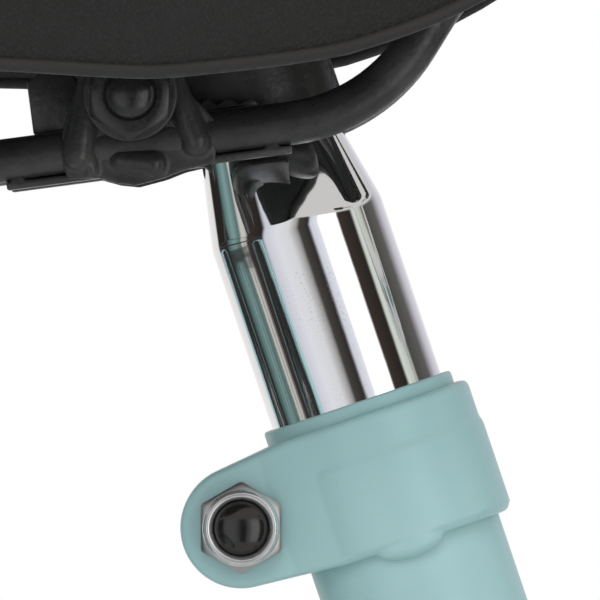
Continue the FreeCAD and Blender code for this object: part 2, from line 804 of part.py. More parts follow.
def build_rear_wheels():
    """Live rear axle: the left wheel and the drum are keyed to it, the right wheel runs free."""
    half_track = number("track") / 2
    wheel_parts("left", REAR_AXLE + LEFT * half_track, size["rear_axle_radius"] - FIT, 38.0)
    wheel_parts("right", REAR_AXLE - LEFT * half_track, size["rear_axle_radius"], 38.0)
    half = half_track + 50
    axle = rod("rear_axle_bar", REAR_AXLE - LEFT * half, REAR_AXLE + LEFT * half, size["rear_axle_radius"])
    nuts = [nut(f"rear_axle_nut_{name}", REAR_AXLE + LEFT * (side * (half_track + 43)), LEFT, 8,
                size["rear_axle_radius"], size["rear_axle_radius"] * 3) for name, side in SIDES]
    node(group("rear_axle", [axle, *nuts]))
    drum = size["drum_radius"]
    width = size["drum_width"] / 2
    section = [
        (size["rear_axle_radius"], -width), (drum, -width), (drum, width), (drum - 5, width),
        (drum - 5, 4 - width),
        (size["rear_axle_radius"] + 8, 4 - width), (size["rear_axle_radius"] + 8, width),
        (size["rear_axle_radius"], width)]
    node(turned("brake_drum", section, facing(REAR_AXLE + LEFT * number("chain_plane"), LEFT)))


def toothed_disc(teeth, thickness, bore, placement):
    """Sprocket: its teeth stand between the chain's rollers."""
    pitch = number("chain_pitch") / (2 * math.sin(math.pi / teeth))
    corners = []
    for tooth in range(teeth):
        for share, height in ((0.0, -4.0), (0.28, -4.0), (0.52, 3.4), (0.76, 3.4)):
            angle = 2 * math.pi * (tooth + share) / teeth
            corners.append(V((pitch + height) * math.cos(angle), (pitch + height) * math.sin(angle),
                -thickness / 2))
    disc = Part.Face(Part.makePolygon(corners + corners[:1])).extrude(V(0, 0, thickness))
    hole = Part.makeCylinder(bore, thickness * 3, V(0, 0, -thickness * 1.5))
    disc = disc.cut(hole)
    disc.Placement = placement
    return disc


def pitch_radius(name):
    """Radius at which the chain's pins go round a sprocket."""
    return number("chain_pitch") / (2 * math.sin(math.pi / number(name)))


def build_drive():
    """Cranks, chainring, pedals, freewheel sprocket and the chain between them."""
    plane = LEFT * -number("chain_plane")
    half = 70.0
    node(rod("crank_axle", CRANK - LEFT * half, CRANK + LEFT * half, size["crank_axle_radius"]))
    length = size["crank_length"]
    eye, toe, reach = 17.0, 13.0, 7.0
    arms, pins = [], []
    for name, side in SIDES:
        ahead = FORWARD * -side
        middle = CRANK + LEFT * (side * 64)
        outline = [(0, -eye, 0, 0, -1), (0, eye), (length, toe, length, 0, -1), (length, -toe)]
        placement = framed(middle, ahead, LEFT * side)
        arms.append(plate(f"crank_arm_{name}", outline, 12, placement,
                          [(0, 0, size["crank_axle_radius"]), (length, 0, reach)]))
        pedal_at = middle + ahead * float(length)
        far = LEFT * (side * (number("pedal_length") + 12))
        pins.append(rod(f"pedal_pin_{name}", pedal_at - LEFT * (side * 6), pedal_at + far, reach))
        tread_half = size["pedal_width"] / 2
        rise = size["pedal_height"] / 2
        corner = 8.0
        tread = [
            (-tread_half, -rise + corner), (-tread_half + corner, -rise), (tread_half - corner, -rise),
            (tread_half, -rise + corner), (tread_half, rise - corner), (tread_half - corner, rise),
            (-tread_half + corner, rise), (-tread_half, rise - corner)]
        pedal_middle = pedal_at + LEFT * (side * (10 + number("pedal_length") / 2))
        node(plate(f"pedal_{name}", tread, size["pedal_length"], side_plane(pedal_middle),
            [(0, 0, reach + FIT)]))
    node(group("crank_arms", [*arms, *pins]))
    ring = toothed_disc(int(number("ring_teeth")), number("sprocket_thickness"),
        number("crank_axle_radius"),
                        facing(CRANK + plane, LEFT))
    node(shaped("chainring", ring))
    sprocket = toothed_disc(int(number("sprocket_teeth")), number("sprocket_thickness"),
        number("rear_axle_radius") + FIT,
                            facing(REAR_AXLE + plane, LEFT))
    body = Part.makeCylinder(24, 12, V(0, 0, -12)).cut(Part.makeCylinder(number("rear_axle_radius") + FIT,
        40, V(0, 0, -20)))
    body.Placement = facing(REAR_AXLE + plane - LEFT * 1.3, LEFT)
    node(shaped("freewheel_sprocket", sprocket.fuse(body)))
    node(shaped("chain", chain(pitch_radius("ring_teeth"), pitch_radius("sprocket_teeth"))))


def chain(ring, sprocket):
    """Two rows of side plates along the pitch line, joined by rollers on the straight runs."""
    plane = -number("chain_plane")
    front, rear = V(CRANK.x, 0, CRANK.z), V(REAR_AXLE.x, 0, REAR_AXLE.z)
    gap = (rear - front).Length
    line = math.atan2(rear.z - front.z, rear.x - front.x)
    wrap = math.acos((ring - sprocket) / gap)
    half_plate = 4.3
    pieces = []
    for row in (-1, 1):
        faces = []
        for extra in (half_plate, -half_plate):
            edges = belt_edges(front, rear, ring + extra, sprocket + extra, line, wrap)
            faces.append(Part.Face(Part.Wire(edges)))
        band = faces[0].cut(faces[1]).extrude(LEFT * 1.3)
        band.translate(LEFT * (plane + row * 3.9 - 0.65))
        pieces.append(band)
    for sign in (1, -1):
        away = V(math.cos(line + sign * wrap), 0, math.sin(line + sign * wrap))
        start, end = front + away * ring, rear + away * sprocket
        links = int((end - start).Length / number("chain_pitch"))
        for link in range(3, links - 2):
            at = start + (end - start) * (link / links)
            pieces.append(Part.makeCylinder(3.8, 6.5, at + LEFT * (plane - 3.25), LEFT))
    whole = pieces[0].fuse(pieces[1:])
    return whole


def belt_edges(front, rear, ring, sprocket, line, wrap):
    """Outline of a belt round two pulleys, in the plane y = 0."""
    def spot(centre, radius, angle):
        return centre + V(math.cos(angle), 0, math.sin(angle)) * radius

    top_front, top_rear = spot(front, ring, line - wrap), spot(rear, sprocket, line - wrap)
    low_front, low_rear = spot(front, ring, line + wrap), spot(rear, sprocket, line + wrap)
    return [
        Part.LineSegment(top_front, top_rear).toShape(),
        Part.Arc(top_rear, spot(rear, sprocket, line), low_rear).toShape(),
        Part.LineSegment(low_rear, low_front).toShape(),
        Part.Arc(low_front, spot(front, ring, line + math.pi), top_front).toShape()]


POST_UP = 223.0
POST_OUT = 42.0


def brake_place(up, left, ahead=25.0):
    """Place beside the front rim, measured in the fork's frame."""
    return steer_point(up, left) + STEER_NORMAL * ahead


def build_fork():
    """Raked fork with its crown and dropouts, and the steerer that turns in the head tube."""
    crown_at = number("fork_length") - 15
    spread = number("blade_spread")
    crown = rod("fork_crown", steer_point(crown_at, -spread - 6), steer_point(crown_at, spread + 6), 15)
    pieces = [crown]
    for name, side in SIDES:
        out = side * spread
        axle = FRONT_AXLE + LEFT * out
        low = steer_point(112, out)
        way = (axle - low).normalize()
        tip = axle - way * 22
        blade = bar_along([steer_point(crown_at, out), low, tip], 150, size["blade_radius"],
            size["blade_radius"] - 1.5)
        pieces.append(shaped(f"fork_blade_{name}", blade))
        outline = [(0, -11, 0, 0, -1), (0, 11), (34, 11), (34, -11)]
        pieces.append(plate(f"dropout_{name}", outline, 5, side_plane(axle, way * -1),
            [(0, 0, size["axle_radius"])]))
        post_at = brake_place(POST_UP, side * POST_OUT, 0)
        pieces.append(rod(f"brake_post_{name}", post_at, brake_place(POST_UP, side * POST_OUT, 34), 4))
    node(fused("fork", pieces))
    top = steer_point(HEAD_TOP + number("cup_height") + 14)
    crown_cope = rod("crown_cope", steer_point(crown_at, -60), steer_point(crown_at, 60), 15)
    pipe = tube("steerer_pipe", steer_point(crown_at), top, size["steerer_radius"],
                size["steerer_radius"] - size["steerer_bore"], [crown_cope])
    section = ring_outline(size["steerer_radius"], size["head_tube_radius"] - 1, 0, 11)
    locknut = turned("headset_locknut", section, facing(steer_point(HEAD_TOP + number("cup_height") + 1),
        STEER))
    node(group("steerer", [pipe, locknut]))


def build_front_brake():
    """Linear-pull brake: a post on each blade, an arm on each post and a pad on each arm."""
    for name, side in SIDES:
        out = side * POST_OUT
        outline = [(-9, -8), (9, -8), (10, 34), (7, 104), (-7, 104), (-10, 34)]
        placement = framed(brake_place(POST_UP, out), LEFT * side, STEER_NORMAL * side * -1)
        flip = -1 if placement.Rotation.multVec(V(0, 1, 0)).dot(STEER) < 0 else 1
        outline = [(x, y * flip) for x, y in outline]
        slim = [(x * 0.4 + (1.5 if y * flip > 40 else 0), y) for x, y in outline]
        arm = plate(f"brake_arm_plate_{name}", slim, 12, placement, [])
        boss = rod(f"brake_arm_boss_{name}", brake_place(POST_UP, out, 17), brake_place(POST_UP, out, 33),
            8)
        stem = rod(f"pad_stem_{name}", brake_place(254, side * 25), brake_place(254, side * 47), 3)
        pad = doc.addObject("Part::Box", f"pad_block_{name}")
        pad.Length, pad.Width, pad.Height = 46, 9, 8
        pad_at = brake_place(254, side * 21.8)
        radial = V(pad_at.x - FRONT_AXLE.x, 0, pad_at.z - FRONT_AXLE.z).normalize()
        tangent = V(radial.z, 0, -radial.x)
        pad.Placement = framed(pad_at - tangent * 23 - radial * 4 + LEFT * (4.5 if tangent.cross(radial).y > 0 else -4.5),
                               tangent, radial)
        bore = rod(f"arm_bore_{name}", brake_place(POST_UP, out, 0), brake_place(POST_UP, out, 60), 4 + FIT)
        node(cut(f"front_brake_arm_{name}", fused(f"arm_weldment_{name}", [arm, boss, stem, pad]), [bore]))


BAR_CENTRE = steer_point(HEAD_TOP + 128) + FORWARD * 58


def bar_points():
    """Route of the swept handlebar from the right grip to the left grip."""
    half, rise, sweep = number("bar_width") / 2, number("bar_rise"), number("bar_sweep")
    side = [V(0, 62, 0), V(18, 112, rise - 6), V(115 - sweep, half - 115, rise), V(-sweep, half, rise)]
    left = [BAR_CENTRE + point for point in side]
    right = [BAR_CENTRE + V(point.x, -point.y, point.z) for point in side]
    return right[::-1] + left


def build_handlebar():
    """Quill stem, swept bar, grips, and a lever on its clamp beside each grip."""
    foot = steer_point(HEAD_BOTTOM + 50)
    corner = steer_point(HEAD_TOP + 118)
    quill = shaped("quill_bar", bar_along([foot, corner, BAR_CENTRE], 26, size["quill_radius"]))
    barrel = rod("bar_barrel", BAR_CENTRE - LEFT * 20, BAR_CENTRE + LEFT * 20, 16)
    hole = rod("bar_hole", BAR_CENTRE - LEFT * 30, BAR_CENTRE + LEFT * 30, size["bar_radius"])
    node(cut("quill_stem", fused("stem_weldment", [quill, barrel]), [hole]))
    points = bar_points()
    node(shaped("handlebar", bar_along(points, 50, size["bar_radius"], size["bar_radius"] - 1.6)))
    grips, clamps = [], []
    for name, side, end, inner in (("right", -1, points[0], points[1]),
        ("left", 1, points[-1], points[-2])):
        out = (end - inner).normalize()
        start = end - out * number("grip_length")
        grips.append(tube(f"grip_{name}", start, end, size["grip_radius"],
            size["grip_radius"] - size["bar_radius"]))
        ahead = V(abs(out.y), -out.x * (1 if out.y > 0 else -1), 0).normalize()
        middle = start - out * 12
        pivot = middle + ahead * 40
        ring = rod(f"lever_ring_{name}", middle - out * 7, middle + out * 7, 16)
        pieces = [ring]
        for level in (-1, 1):
            outline = [(-8, 0), (8, 0), (8, 46), (-8, 46)]
            lug = plate(f"lever_lug_{name}_{level + 1}", outline, 3,
                lever_frame(middle + UP * (level * 5.8), out, ahead))
            pieces.append(lug)
        pieces.append(rod(f"lever_pin_{name}", pivot - UP * 7, pivot + UP * 7, 3))
        bore = rod(f"lever_bore_{name}", middle - out * 20, middle + out * 20, size["bar_radius"])
        clamps.append(cut(f"lever_clamp_{name}", fused(f"lever_body_{name}", pieces), [bore]))
        outline = [(-7, -7), (7, -7), (26, 10), (116, 8), (116, 17), (22, 21), (-7, 7)]
        frame = lever_frame(pivot, out, ahead)
        node(plate(f"brake_lever_{name}", outline, 8, frame, [(0, 0, 3 + FIT)]))
    node(group("grips", grips))
    node(group("lever_clamps", clamps))


def lever_frame(origin, out, ahead):
    """Level frame with local X towards the grip's end and local Y ahead of the bar, on either side."""
    rotation = FreeCAD.Rotation(out, ahead, V(0, 0, 0), "XYZ")
    return FreeCAD.Placement(V(origin), rotation)


def fender_section():
    """Rolled mudguard section, its edges turned in."""
    crown, half, wall = size["fender_radius"], size["fender_width"] / 2, size["fender_wall"]
    return [
        (crown - 9, -half), (crown, -half + 8), (crown, half - 8), (crown - 9, half),
        (crown - 9, half + wall),
        (crown + wall, half - 8 + wall), (crown + wall, -half + 8 - wall), (crown - 9, -half - wall)]


def fender(label, centre, first, last):
    """Mudguard over part of a wheel, from one angle to another, measured up from straight ahead."""
    item = turned(label, fender_section(), FreeCAD.Placement())
    turn = [part for part in item.Group if part.TypeId == "PartDesign::Revolution"][0]
    turn.Angle = last - first
    rotation = FreeCAD.Rotation(V(0, 1, 0), -first).multiply(FreeCAD.Rotation(V(1, 0, 0), 90))
    item.Placement = FreeCAD.Placement(V(centre), rotation)
    return item


def build_fenders():
    """Front mudguard on the fork and two rear ones on the cross tubes, each with wire stays."""
    wire = 2.2
    edge = number("fender_width") / 2 + number("fender_wall") + wire + 0.05
    pieces = [fender("front_mudguard", FRONT_AXLE, 40, 186)]
    for name, side in SIDES:
        start = FRONT_AXLE + V(-8, side * (number("blade_spread") - 6), 0)
        way = V(math.cos(math.radians(165)), 0, math.sin(math.radians(165)))
        finish = FRONT_AXLE + way * (number("fender_radius") - 4) + LEFT * (side * edge)
        pieces.append(rod(f"front_stay_{name}", start + way * 14, finish, wire))
    node(group("front_fender", pieces))
    rear = []
    half_track = number("track") / 2
    for name, side in SIDES:
        centre = REAR_AXLE + LEFT * (side * half_track)
        rear.append(fender(f"rear_mudguard_{name}", centre, 14, 161))
        for spot, x, angle in (("front", CROSS_FRONT, 48), ("rear", CROSS_REAR, 132)):
            start = V(x, side * number("cross_tube_half"), number("cross_tube_height"))
            turn_y = side * (half_track - edge)
            way = V(math.cos(math.radians(angle)), 0, math.sin(math.radians(angle)))
            finish = centre + way * (number("fender_radius") - 4)
            finish = V(finish.x, turn_y, finish.z)
            corner = V(x, turn_y, start.z)
            stay = shaped(f"rear_stay_{spot}_{name}", bar_along([start, corner, finish], 8, wire))
            rear.append(stay)
    node(group("rear_fenders", rear))


def build_guard(seat_cope):
    """Chain guard over the ring and the upper run, on two short pegs."""
    plane = -54.0
    outer, inner = 104.0, 72.0
    rear_end = REAR_AXLE.x - CRANK.x + 28

    def spot(radius, angle):
        turn = math.radians(angle)
        return radius * math.cos(turn), radius * math.sin(turn)

    outline = [
        (*spot(outer, -35), 0, 0, 1), spot(outer, 98), (rear_end, 79), (rear_end, 56),
        (*spot(inner, 115), 0, 0, -1), spot(inner, -35)]
    place = framed(CRANK + LEFT * plane, FORWARD, LEFT * -1)
    flat = plate("guard_plate", outline, 1.5, place)
    peg_at = CRANK + SEAT * 101.3
    front_peg = cut("guard_peg", rod("guard_peg_bar", peg_at, peg_at + LEFT * (plane + 0.5), 3),
        [seat_cope])
    rear_at = CRANK + FORWARD * (rear_end + 6) + UP * 68
    plate_face = number("inner_plate_offset") - number("plate_thickness") / 2
    rear_peg = rod("guard_rear_peg", rear_at + LEFT * (plane - 0.5), rear_at - LEFT * plate_face, 3)
    node(fused("chain_guard", [flat, front_peg, rear_peg]))


def build_band_brake():
    """Band brake on the live axle: a strap on its back plate, and the arm that tightens it."""
    offset = number("chain_plane")
    reach = size["drum_radius"]
    half = size["drum_width"] / 2
    section = [
        (22, half + 1), (reach + 0.6, half + 1), (reach + 0.6, -half + 2), (reach + 2.2, -half + 2),
        (reach + 2.2, half + 2.8), (22, half + 2.8)]
    housing = turned("band_housing", section, facing(REAR_AXLE + LEFT * offset, LEFT))
    back = offset + number("drum_width") / 2 + 1.9
    peg_at = REAR_AXLE + V(26, 0, 28)
    face = number("inner_plate_offset") - number("plate_thickness") / 2
    peg = rod("band_peg", peg_at + LEFT * (back - 0.6), peg_at + LEFT * face, 5)
    pivot = REAR_AXLE + V(-57, 0, -8)
    lug = plate("band_lug_plate", [(-66, -16), (-40, -20), (-40, 6), (-66, 0)], 1.8,
        side_plane(REAR_AXLE + LEFT * back))
    pin = rod("band_pin", pivot + LEFT * (back - 0.5), pivot + LEFT * (back + 8), 3)
    node(fused("brake_band", [housing, peg, lug, pin]))
    outline = [(-7, -7), (7, -7), (5, 58), (-5, 58)]
    node(plate("band_brake_arm", outline, 4, side_plane(pivot + LEFT * (back + 4)), [(0, 0, 3 + FIT)]))


def box(label, corner, sizes):
    """Rectangular block from its low corner."""
    item = doc.addObject("Part::Box", label)
    item.Label = label
    for attribute, value in zip(("Length", "Width", "Height"), sizes):
        bind(item, attribute, value)
    item.Placement = FreeCAD.Placement(V(corner), FreeCAD.Rotation())
    return item


def build_basket():
    """Rear basket: a floor between four walls, a bar along each top edge, and four pegs under it."""
    length, width, depth = size["basket_length"], size["basket_width"], size["basket_depth"]
    wall = size["panel_thickness"]
    floor = number("basket_floor")
    back = BASKET_FRONT - float(length)
    side = float(width) / 2
    thick = float(wall)
    panels = [
        box("basket_floor", (back + thick, -side + thick, floor),
        (length - wall * 2, width - wall * 2, wall)),
        box("basket_front", (BASKET_FRONT - thick, -side, floor), (wall, width, depth)),
        box("basket_back", (back, -side, floor), (wall, width, depth)),
        box("basket_left", (back + thick, side - thick, floor), (length - wall * 2, wall, depth)),
        box("basket_right", (back + thick, -side, floor), (length - wall * 2, wall, depth))]
    bar = BASKET_BAR_RADIUS
    top = floor + float(depth) + bar
    ends = (back + thick / 2, BASKET_FRONT - thick / 2)
    bars = []
    for name, x in zip(("back", "front"), ends):
        bars.append(rod(f"basket_bar_{name}", V(x, -side, top), V(x, side, top), bar))
    for name, y in (("left", side - thick / 2), ("right", thick / 2 - side)):
        bars.append(rod(f"basket_bar_{name}", V(ends[0] + bar, y, top), V(ends[1] - bar, y, top), bar))
    node(group("basket", [*panels, *bars]))

    pegs = []
    height = number("cross_tube_height")
    for x in (CROSS_FRONT, CROSS_REAR):
        for y in (-BASKET_PEG_PLACE, BASKET_PEG_PLACE):
            start, end = V(x, y - 30, height), V(x, y + 30, height)
            cope = rod(f"peg_cope_{x:.0f}_{y}", start, end, size["cross_tube_radius"])
            peg = rod(f"basket_peg_{x:.0f}_{y}", V(x, y, height), V(x, y, floor), BASKET_PEG_RADIUS)
            pegs.append(cut(f"basket_bracket_{x:.0f}_{y}", peg, [cope]))
    node(group("basket_brackets", pegs))


def check_and_write():
    """Stop on any failed object or bad shape, then write one file for each sub-part."""
    doc.recompute()
    faults = [item.Name for item in doc.Objects if set(item.State) & {"Invalid", "Error"}]
    faults += [name for name, item in nodes.items() if item.Shape.isNull() or not item.Shape.isValid()]
    if faults:
        raise RuntimeError("failed objects: " + ", ".join(faults))
    os.makedirs("parts", exist_ok=True)
    for name, item in nodes.items():
        item.Shape.exportStep(os.path.join("parts", name + ".step"))
        print(f"{name}: {len(item.Shape.Solids)} solids, {item.Shape.Volume:.0f} mm3")
    print(len(nodes), "nodes")


build_frame()
build_seat_collar()
build_seat_post()
build_saddle_clamp()
build_saddle()
build_front_wheel()
build_rear_wheels()
build_drive()
build_fork()
build_front_brake()
build_handlebar()
build_fenders()
build_guard(rod("guard_cope", CRANK, seat_point(0), size["seat_tube_radius"]))
build_band_brake()
build_basket()
check_and_write()
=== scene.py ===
import json
import math

import bmesh
import bpy
from mathutils import Matrix, Vector


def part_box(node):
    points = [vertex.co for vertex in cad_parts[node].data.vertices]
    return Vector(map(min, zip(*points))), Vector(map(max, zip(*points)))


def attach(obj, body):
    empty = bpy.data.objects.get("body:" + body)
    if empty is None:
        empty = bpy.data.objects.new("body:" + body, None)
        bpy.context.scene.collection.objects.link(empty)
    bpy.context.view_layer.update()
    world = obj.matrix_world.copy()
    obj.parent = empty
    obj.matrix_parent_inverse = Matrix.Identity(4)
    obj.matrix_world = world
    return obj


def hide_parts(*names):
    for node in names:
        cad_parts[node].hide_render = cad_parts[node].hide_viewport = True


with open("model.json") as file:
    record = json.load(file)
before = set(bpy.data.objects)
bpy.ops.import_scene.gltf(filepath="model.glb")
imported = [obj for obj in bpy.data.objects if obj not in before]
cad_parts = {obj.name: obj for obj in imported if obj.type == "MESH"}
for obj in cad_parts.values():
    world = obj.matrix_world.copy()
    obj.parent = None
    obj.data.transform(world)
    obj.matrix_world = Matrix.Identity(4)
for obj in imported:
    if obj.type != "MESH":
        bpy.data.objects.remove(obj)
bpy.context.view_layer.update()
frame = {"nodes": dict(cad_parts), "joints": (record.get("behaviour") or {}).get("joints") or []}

# ---------------------------------------------------------------- frame tubes
# Brazed and welded steel tubes, powder coated in one pale teal: shell, head tube, two main tubes,
# stays, rear carrier, fork, mudguards and chain guard all go through the same booth.
def shader_group(name, inputs):
    """Surface group with its own inputs; every one gives a colour, a roughness and a height."""
    tree = bpy.data.node_groups.new(name, "ShaderNodeTree")
    tree.interface.new_socket("Place", in_out="INPUT", socket_type="NodeSocketVector")
    for label, value in inputs.items():
        kind = "NodeSocketColor" if isinstance(value, tuple) else "NodeSocketFloat"
        tree.interface.new_socket(label, in_out="INPUT", socket_type=kind).default_value = value
    tree.interface.new_socket("Colour", in_out="OUTPUT", socket_type="NodeSocketColor")
    tree.interface.new_socket("Roughness", in_out="OUTPUT", socket_type="NodeSocketFloat")
    tree.interface.new_socket("Height", in_out="OUTPUT", socket_type="NodeSocketFloat")
    entry = tree.nodes.new("NodeGroupInput")
    leave = tree.nodes.new("NodeGroupOutput")
    return tree, entry, leave


def noise(tree, place, scale, detail=4.0, stretch=None):
    """Noise of so many waves per metre, stretched along an axis where the finish has a grain."""
    node = tree.nodes.new("ShaderNodeTexNoise")
    node.inputs["Scale"].default_value = scale
    node.inputs["Detail"].default_value = detail
    if stretch:
        mapping = tree.nodes.new("ShaderNodeMapping")
        mapping.inputs["Scale"].default_value = stretch
        tree.links.new(place, mapping.inputs["Vector"])
        place = mapping.outputs["Vector"]
    tree.links.new(place, node.inputs["Vector"])
    return node.outputs["Fac"]


def ranged(tree, value, low, high, to_low, to_high):
    """A value brought from one range to another and held there."""
    node = tree.nodes.new("ShaderNodeMapRange")
    for socket, number in zip(("From Min", "From Max", "To Min", "To Max"), (low, high, to_low, to_high)):
        if isinstance(number, (int, float)):
            node.inputs[socket].default_value = number
        else:
            tree.links.new(number, node.inputs[socket])
    tree.links.new(value, node.inputs["Value"])
    return node.outputs["Result"]


def blended(tree, factor, first, second, mode="MIX"):
    """Two colours mixed by a mask."""
    node = tree.nodes.new("ShaderNodeMix")
    node.data_type = "RGBA"
    node.blend_type = mode
    for socket, value in (("Factor", factor), ("A", first), ("B", second)):
        target = [s for s in node.inputs if s.name == socket and s.enabled][0]
        if isinstance(value, (int, float, tuple)):
            target.default_value = value
        else:
            tree.links.new(value, target)
    return [s for s in node.outputs if s.enabled][0]


def combined(tree, operation, first, second):
    """Sum, product or other arithmetic of two values."""
    node = tree.nodes.new("ShaderNodeMath")
    node.operation = operation
    for socket, value in zip(node.inputs, (first, second)):
        if isinstance(value, (int, float)):
            socket.default_value = value
        else:
            tree.links.new(value, socket)
    return node.outputs["Value"]


def finish_material(name, group, settings, plain, relief):
    """Material fed by a surface group; numbers that are the same all over sit on the shader."""
    material = bpy.data.materials.new(name)
    material.use_nodes = True
    tree = material.node_tree
    shader = tree.nodes["Principled BSDF"]
    for socket, value in plain.items():
        shader.inputs[socket].default_value = value
    place = tree.nodes.new("ShaderNodeTexCoord")
    surface = tree.nodes.new("ShaderNodeGroup")
    surface.node_tree = group
    for socket, value in settings.items():
        surface.inputs[socket].default_value = value
    tree.links.new(place.outputs["Object"], surface.inputs["Place"])
    tree.links.new(surface.outputs["Colour"], shader.inputs["Base Color"])
    tree.links.new(surface.outputs["Roughness"], shader.inputs["Roughness"])
    bump = tree.nodes.new("ShaderNodeBump")
    bump.inputs["Distance"].default_value = relief
    tree.links.new(surface.outputs["Height"], bump.inputs["Height"])
    tree.links.new(bump.outputs["Normal"], shader.inputs["Normal"])
    return material


def wear(material, *nodes):
    """Give CAD nodes a finish."""
    for node in nodes:
        slots = frame["nodes"][node].material_slots
        for slot in slots:
            slot.material = material


TEAL = (0.375, 0.600, 0.600, 1)
paint_group, entry, leave = shader_group(
    "powder_coat", {"Coat": TEAL, "Deep": (0.300, 0.510, 0.512, 1), "Dust": (0.42, 0.52, 0.50, 1),
    "Orange peel": 1.0})
place = entry.outputs["Place"]
clouds = noise(paint_group, place, 28.0, 5.0)
fine = noise(paint_group, place, 900.0, 3.0)
peel = noise(paint_group, place, 420.0, 2.0)
tint = blended(paint_group, ranged(paint_group, clouds, 0.35, 0.75, 0.0, 0.55), entry.outputs["Coat"],
    entry.outputs["Deep"])
specks = ranged(paint_group, noise(paint_group, place, 1500.0, 1.0), 0.66, 0.74, 0.0, 0.25)
paint_group.links.new(blended(paint_group, specks, tint, entry.outputs["Dust"]), leave.inputs["Colour"])
paint_group.links.new(ranged(paint_group, fine, 0.3, 0.7, 0.34, 0.46), leave.inputs["Roughness"])
height = combined(paint_group, "ADD", combined(paint_group, "MULTIPLY", peel, entry.outputs["Orange peel"]),
    combined(paint_group, "MULTIPLY", fine, 0.25))
paint_group.links.new(height, leave.inputs["Height"])
teal_paint = finish_material(
    "teal_powder_coat", paint_group, {}, {"Coat Weight": 0.25, "Coat Roughness": 0.22,
    "Specular IOR Level": 0.45}, 0.00006)
wear(teal_paint, "bottom_bracket_shell", "seat_tube", "head_tube", "down_tube", "step_tube", "axle_carrier",
    "rear_stays",
     "fork", "chain_guard", "front_fender", "rear_fenders", "seat_collar")

# ---------------------------------------------------------------- seat tube top and clamp collar
# The seat tube is drawn tube, saw-cut at the back. A pressed collar is welded round its top with a
# split ear behind, and the whole is powder coated, which softens every edge and fills the weld.
joints = {joint["name"]: joint for joint in frame["joints"]}
POST_LINE = Vector(joints["post_height"]["axis"]).normalized()
POST_FORWARD = Vector((POST_LINE.z, 0, -POST_LINE.x))
SIDEWAYS = Vector((0, 1, 0))
UPWARD = Vector((0, 0, 1))
CRANK_CENTRE = Vector(joints["crank_spin"]["pos_m"])
SEAT_TUBE_LENGTH = 0.440
SEAT_TOP = CRANK_CENTRE + POST_LINE * SEAT_TUBE_LENGTH
MM = 0.001

def mesh_piece(name, points, faces):
    """Mesh object from points and faces, its normals made to face outwards."""
    mesh = bpy.data.meshes.new(name)
    mesh.from_pydata([tuple(point) for point in points], [], faces)
    work = bmesh.new()
    work.from_mesh(mesh)
    bmesh.ops.recalc_face_normals(work, faces=work.faces)
    work.to_mesh(mesh)
    work.free()
    obj = bpy.data.objects.new(name, mesh)
    bpy.context.collection.objects.link(obj)
    return obj


def square_to(line):
    """Two directions square to a line and to each other."""
    line = Vector(line).normalized()
    first = line.cross(SIDEWAYS if abs(line.y) < 0.9 else UPWARD).normalized()
    return first, line.cross(first).normalized()


def lathe(name, outline, origin, line, steps=96, closed=True):
    """Turned piece: a closed (radius, height) outline carried round a line."""
    line = Vector(line).normalized()
    first, second = square_to(line)
    points, faces = [], []
    count = len(outline)
    for step in range(steps):
        angle = 2 * math.pi * step / steps
        out = first * math.cos(angle) + second * math.sin(angle)
        points += [origin + out * radius + line * height for radius, height in outline]
    for step in range(steps):
        after = (step + 1) % steps
        for k in range(count if closed else count - 1):
            other = (k + 1) % count
            faces.append((step * count + k, step * count + other, after * count + other, after * count + k))
    obj = mesh_piece(name, points, faces)
    work = bmesh.new()
    work.from_mesh(obj.data)
    bmesh.ops.remove_doubles(work, verts=work.verts, dist=1e-6)
    bmesh.ops.dissolve_degenerate(work, edges=work.edges, dist=1e-7)
    bmesh.ops.recalc_face_normals(work, faces=work.faces)
    work.to_mesh(obj.data)
    work.free()
    return obj


def rounded(outline, radii, steps=5):
    """Outline with each corner rounded to its radius; 0 keeps it sharp."""
    done = []
    count = len(outline)
    for k, (corner, radius) in enumerate(zip(outline, radii)):
        corner = Vector(corner)
        before = Vector(outline[k - 1]) - corner
        after = Vector(outline[(k + 1) % count]) - corner
        if radius <= 0 or before.length < 1e-9 or after.length < 1e-9:
            done.append(tuple(corner))
            continue
        half = before.angle(after) / 2
        reach = min(radius / math.tan(half), before.length * 0.49, after.length * 0.49)
        start, end = corner + before.normalized() * reach, corner + after.normalized() * reach
        for step in range(steps + 1):
            share = step / steps
            done.append(tuple(start.lerp(corner, share).lerp(corner.lerp(end, share), share)))
    return done


def settled(obj, material, body, slot, *nodes, sharp=35):
    """A finished piece: smooth-shaded, in its material, riding its body, standing for its CAD nodes."""
    if obj.type == "MESH":
        obj.data.shade_smooth()
        obj.data.set_sharp_from_angle(angle=math.radians(sharp))
    obj.data.materials.clear()
    obj.data.materials.append(material)
    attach(obj, body)
    if nodes:
        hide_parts(*nodes)
    return obj


def extruded(name, outline, origin, across, along, normal, half):
    """Prism: a flat outline on two axes, carried both ways along a normal."""
    points = []
    for side in (-half, half):
        points += [origin + across * x + along * y + normal * side for x, y in outline]
    count = len(outline)
    faces = [tuple(range(count)), tuple(range(2 * count - 1, count - 1, -1))]
    faces += [(k, (k + 1) % count, count + (k + 1) % count, count + k) for k in range(count)]
    return mesh_piece(name, points, faces)


def arc_points(centre, radius, start, end, steps):
    """Points round part of a circle, in degrees."""
    turns = [math.radians(start + (end - start) * k / steps) for k in range(steps + 1)]
    return [(centre[0] + radius * math.cos(turn), centre[1] + radius * math.sin(turn)) for turn in turns]


def apply_modifiers(obj):
    """Make a piece's modifiers part of its mesh."""
    shown = obj.evaluated_get(bpy.context.evaluated_depsgraph_get())
    finished = bpy.data.meshes.new_from_object(shown)
    obj.modifiers.clear()
    obj.data = finished
    return obj


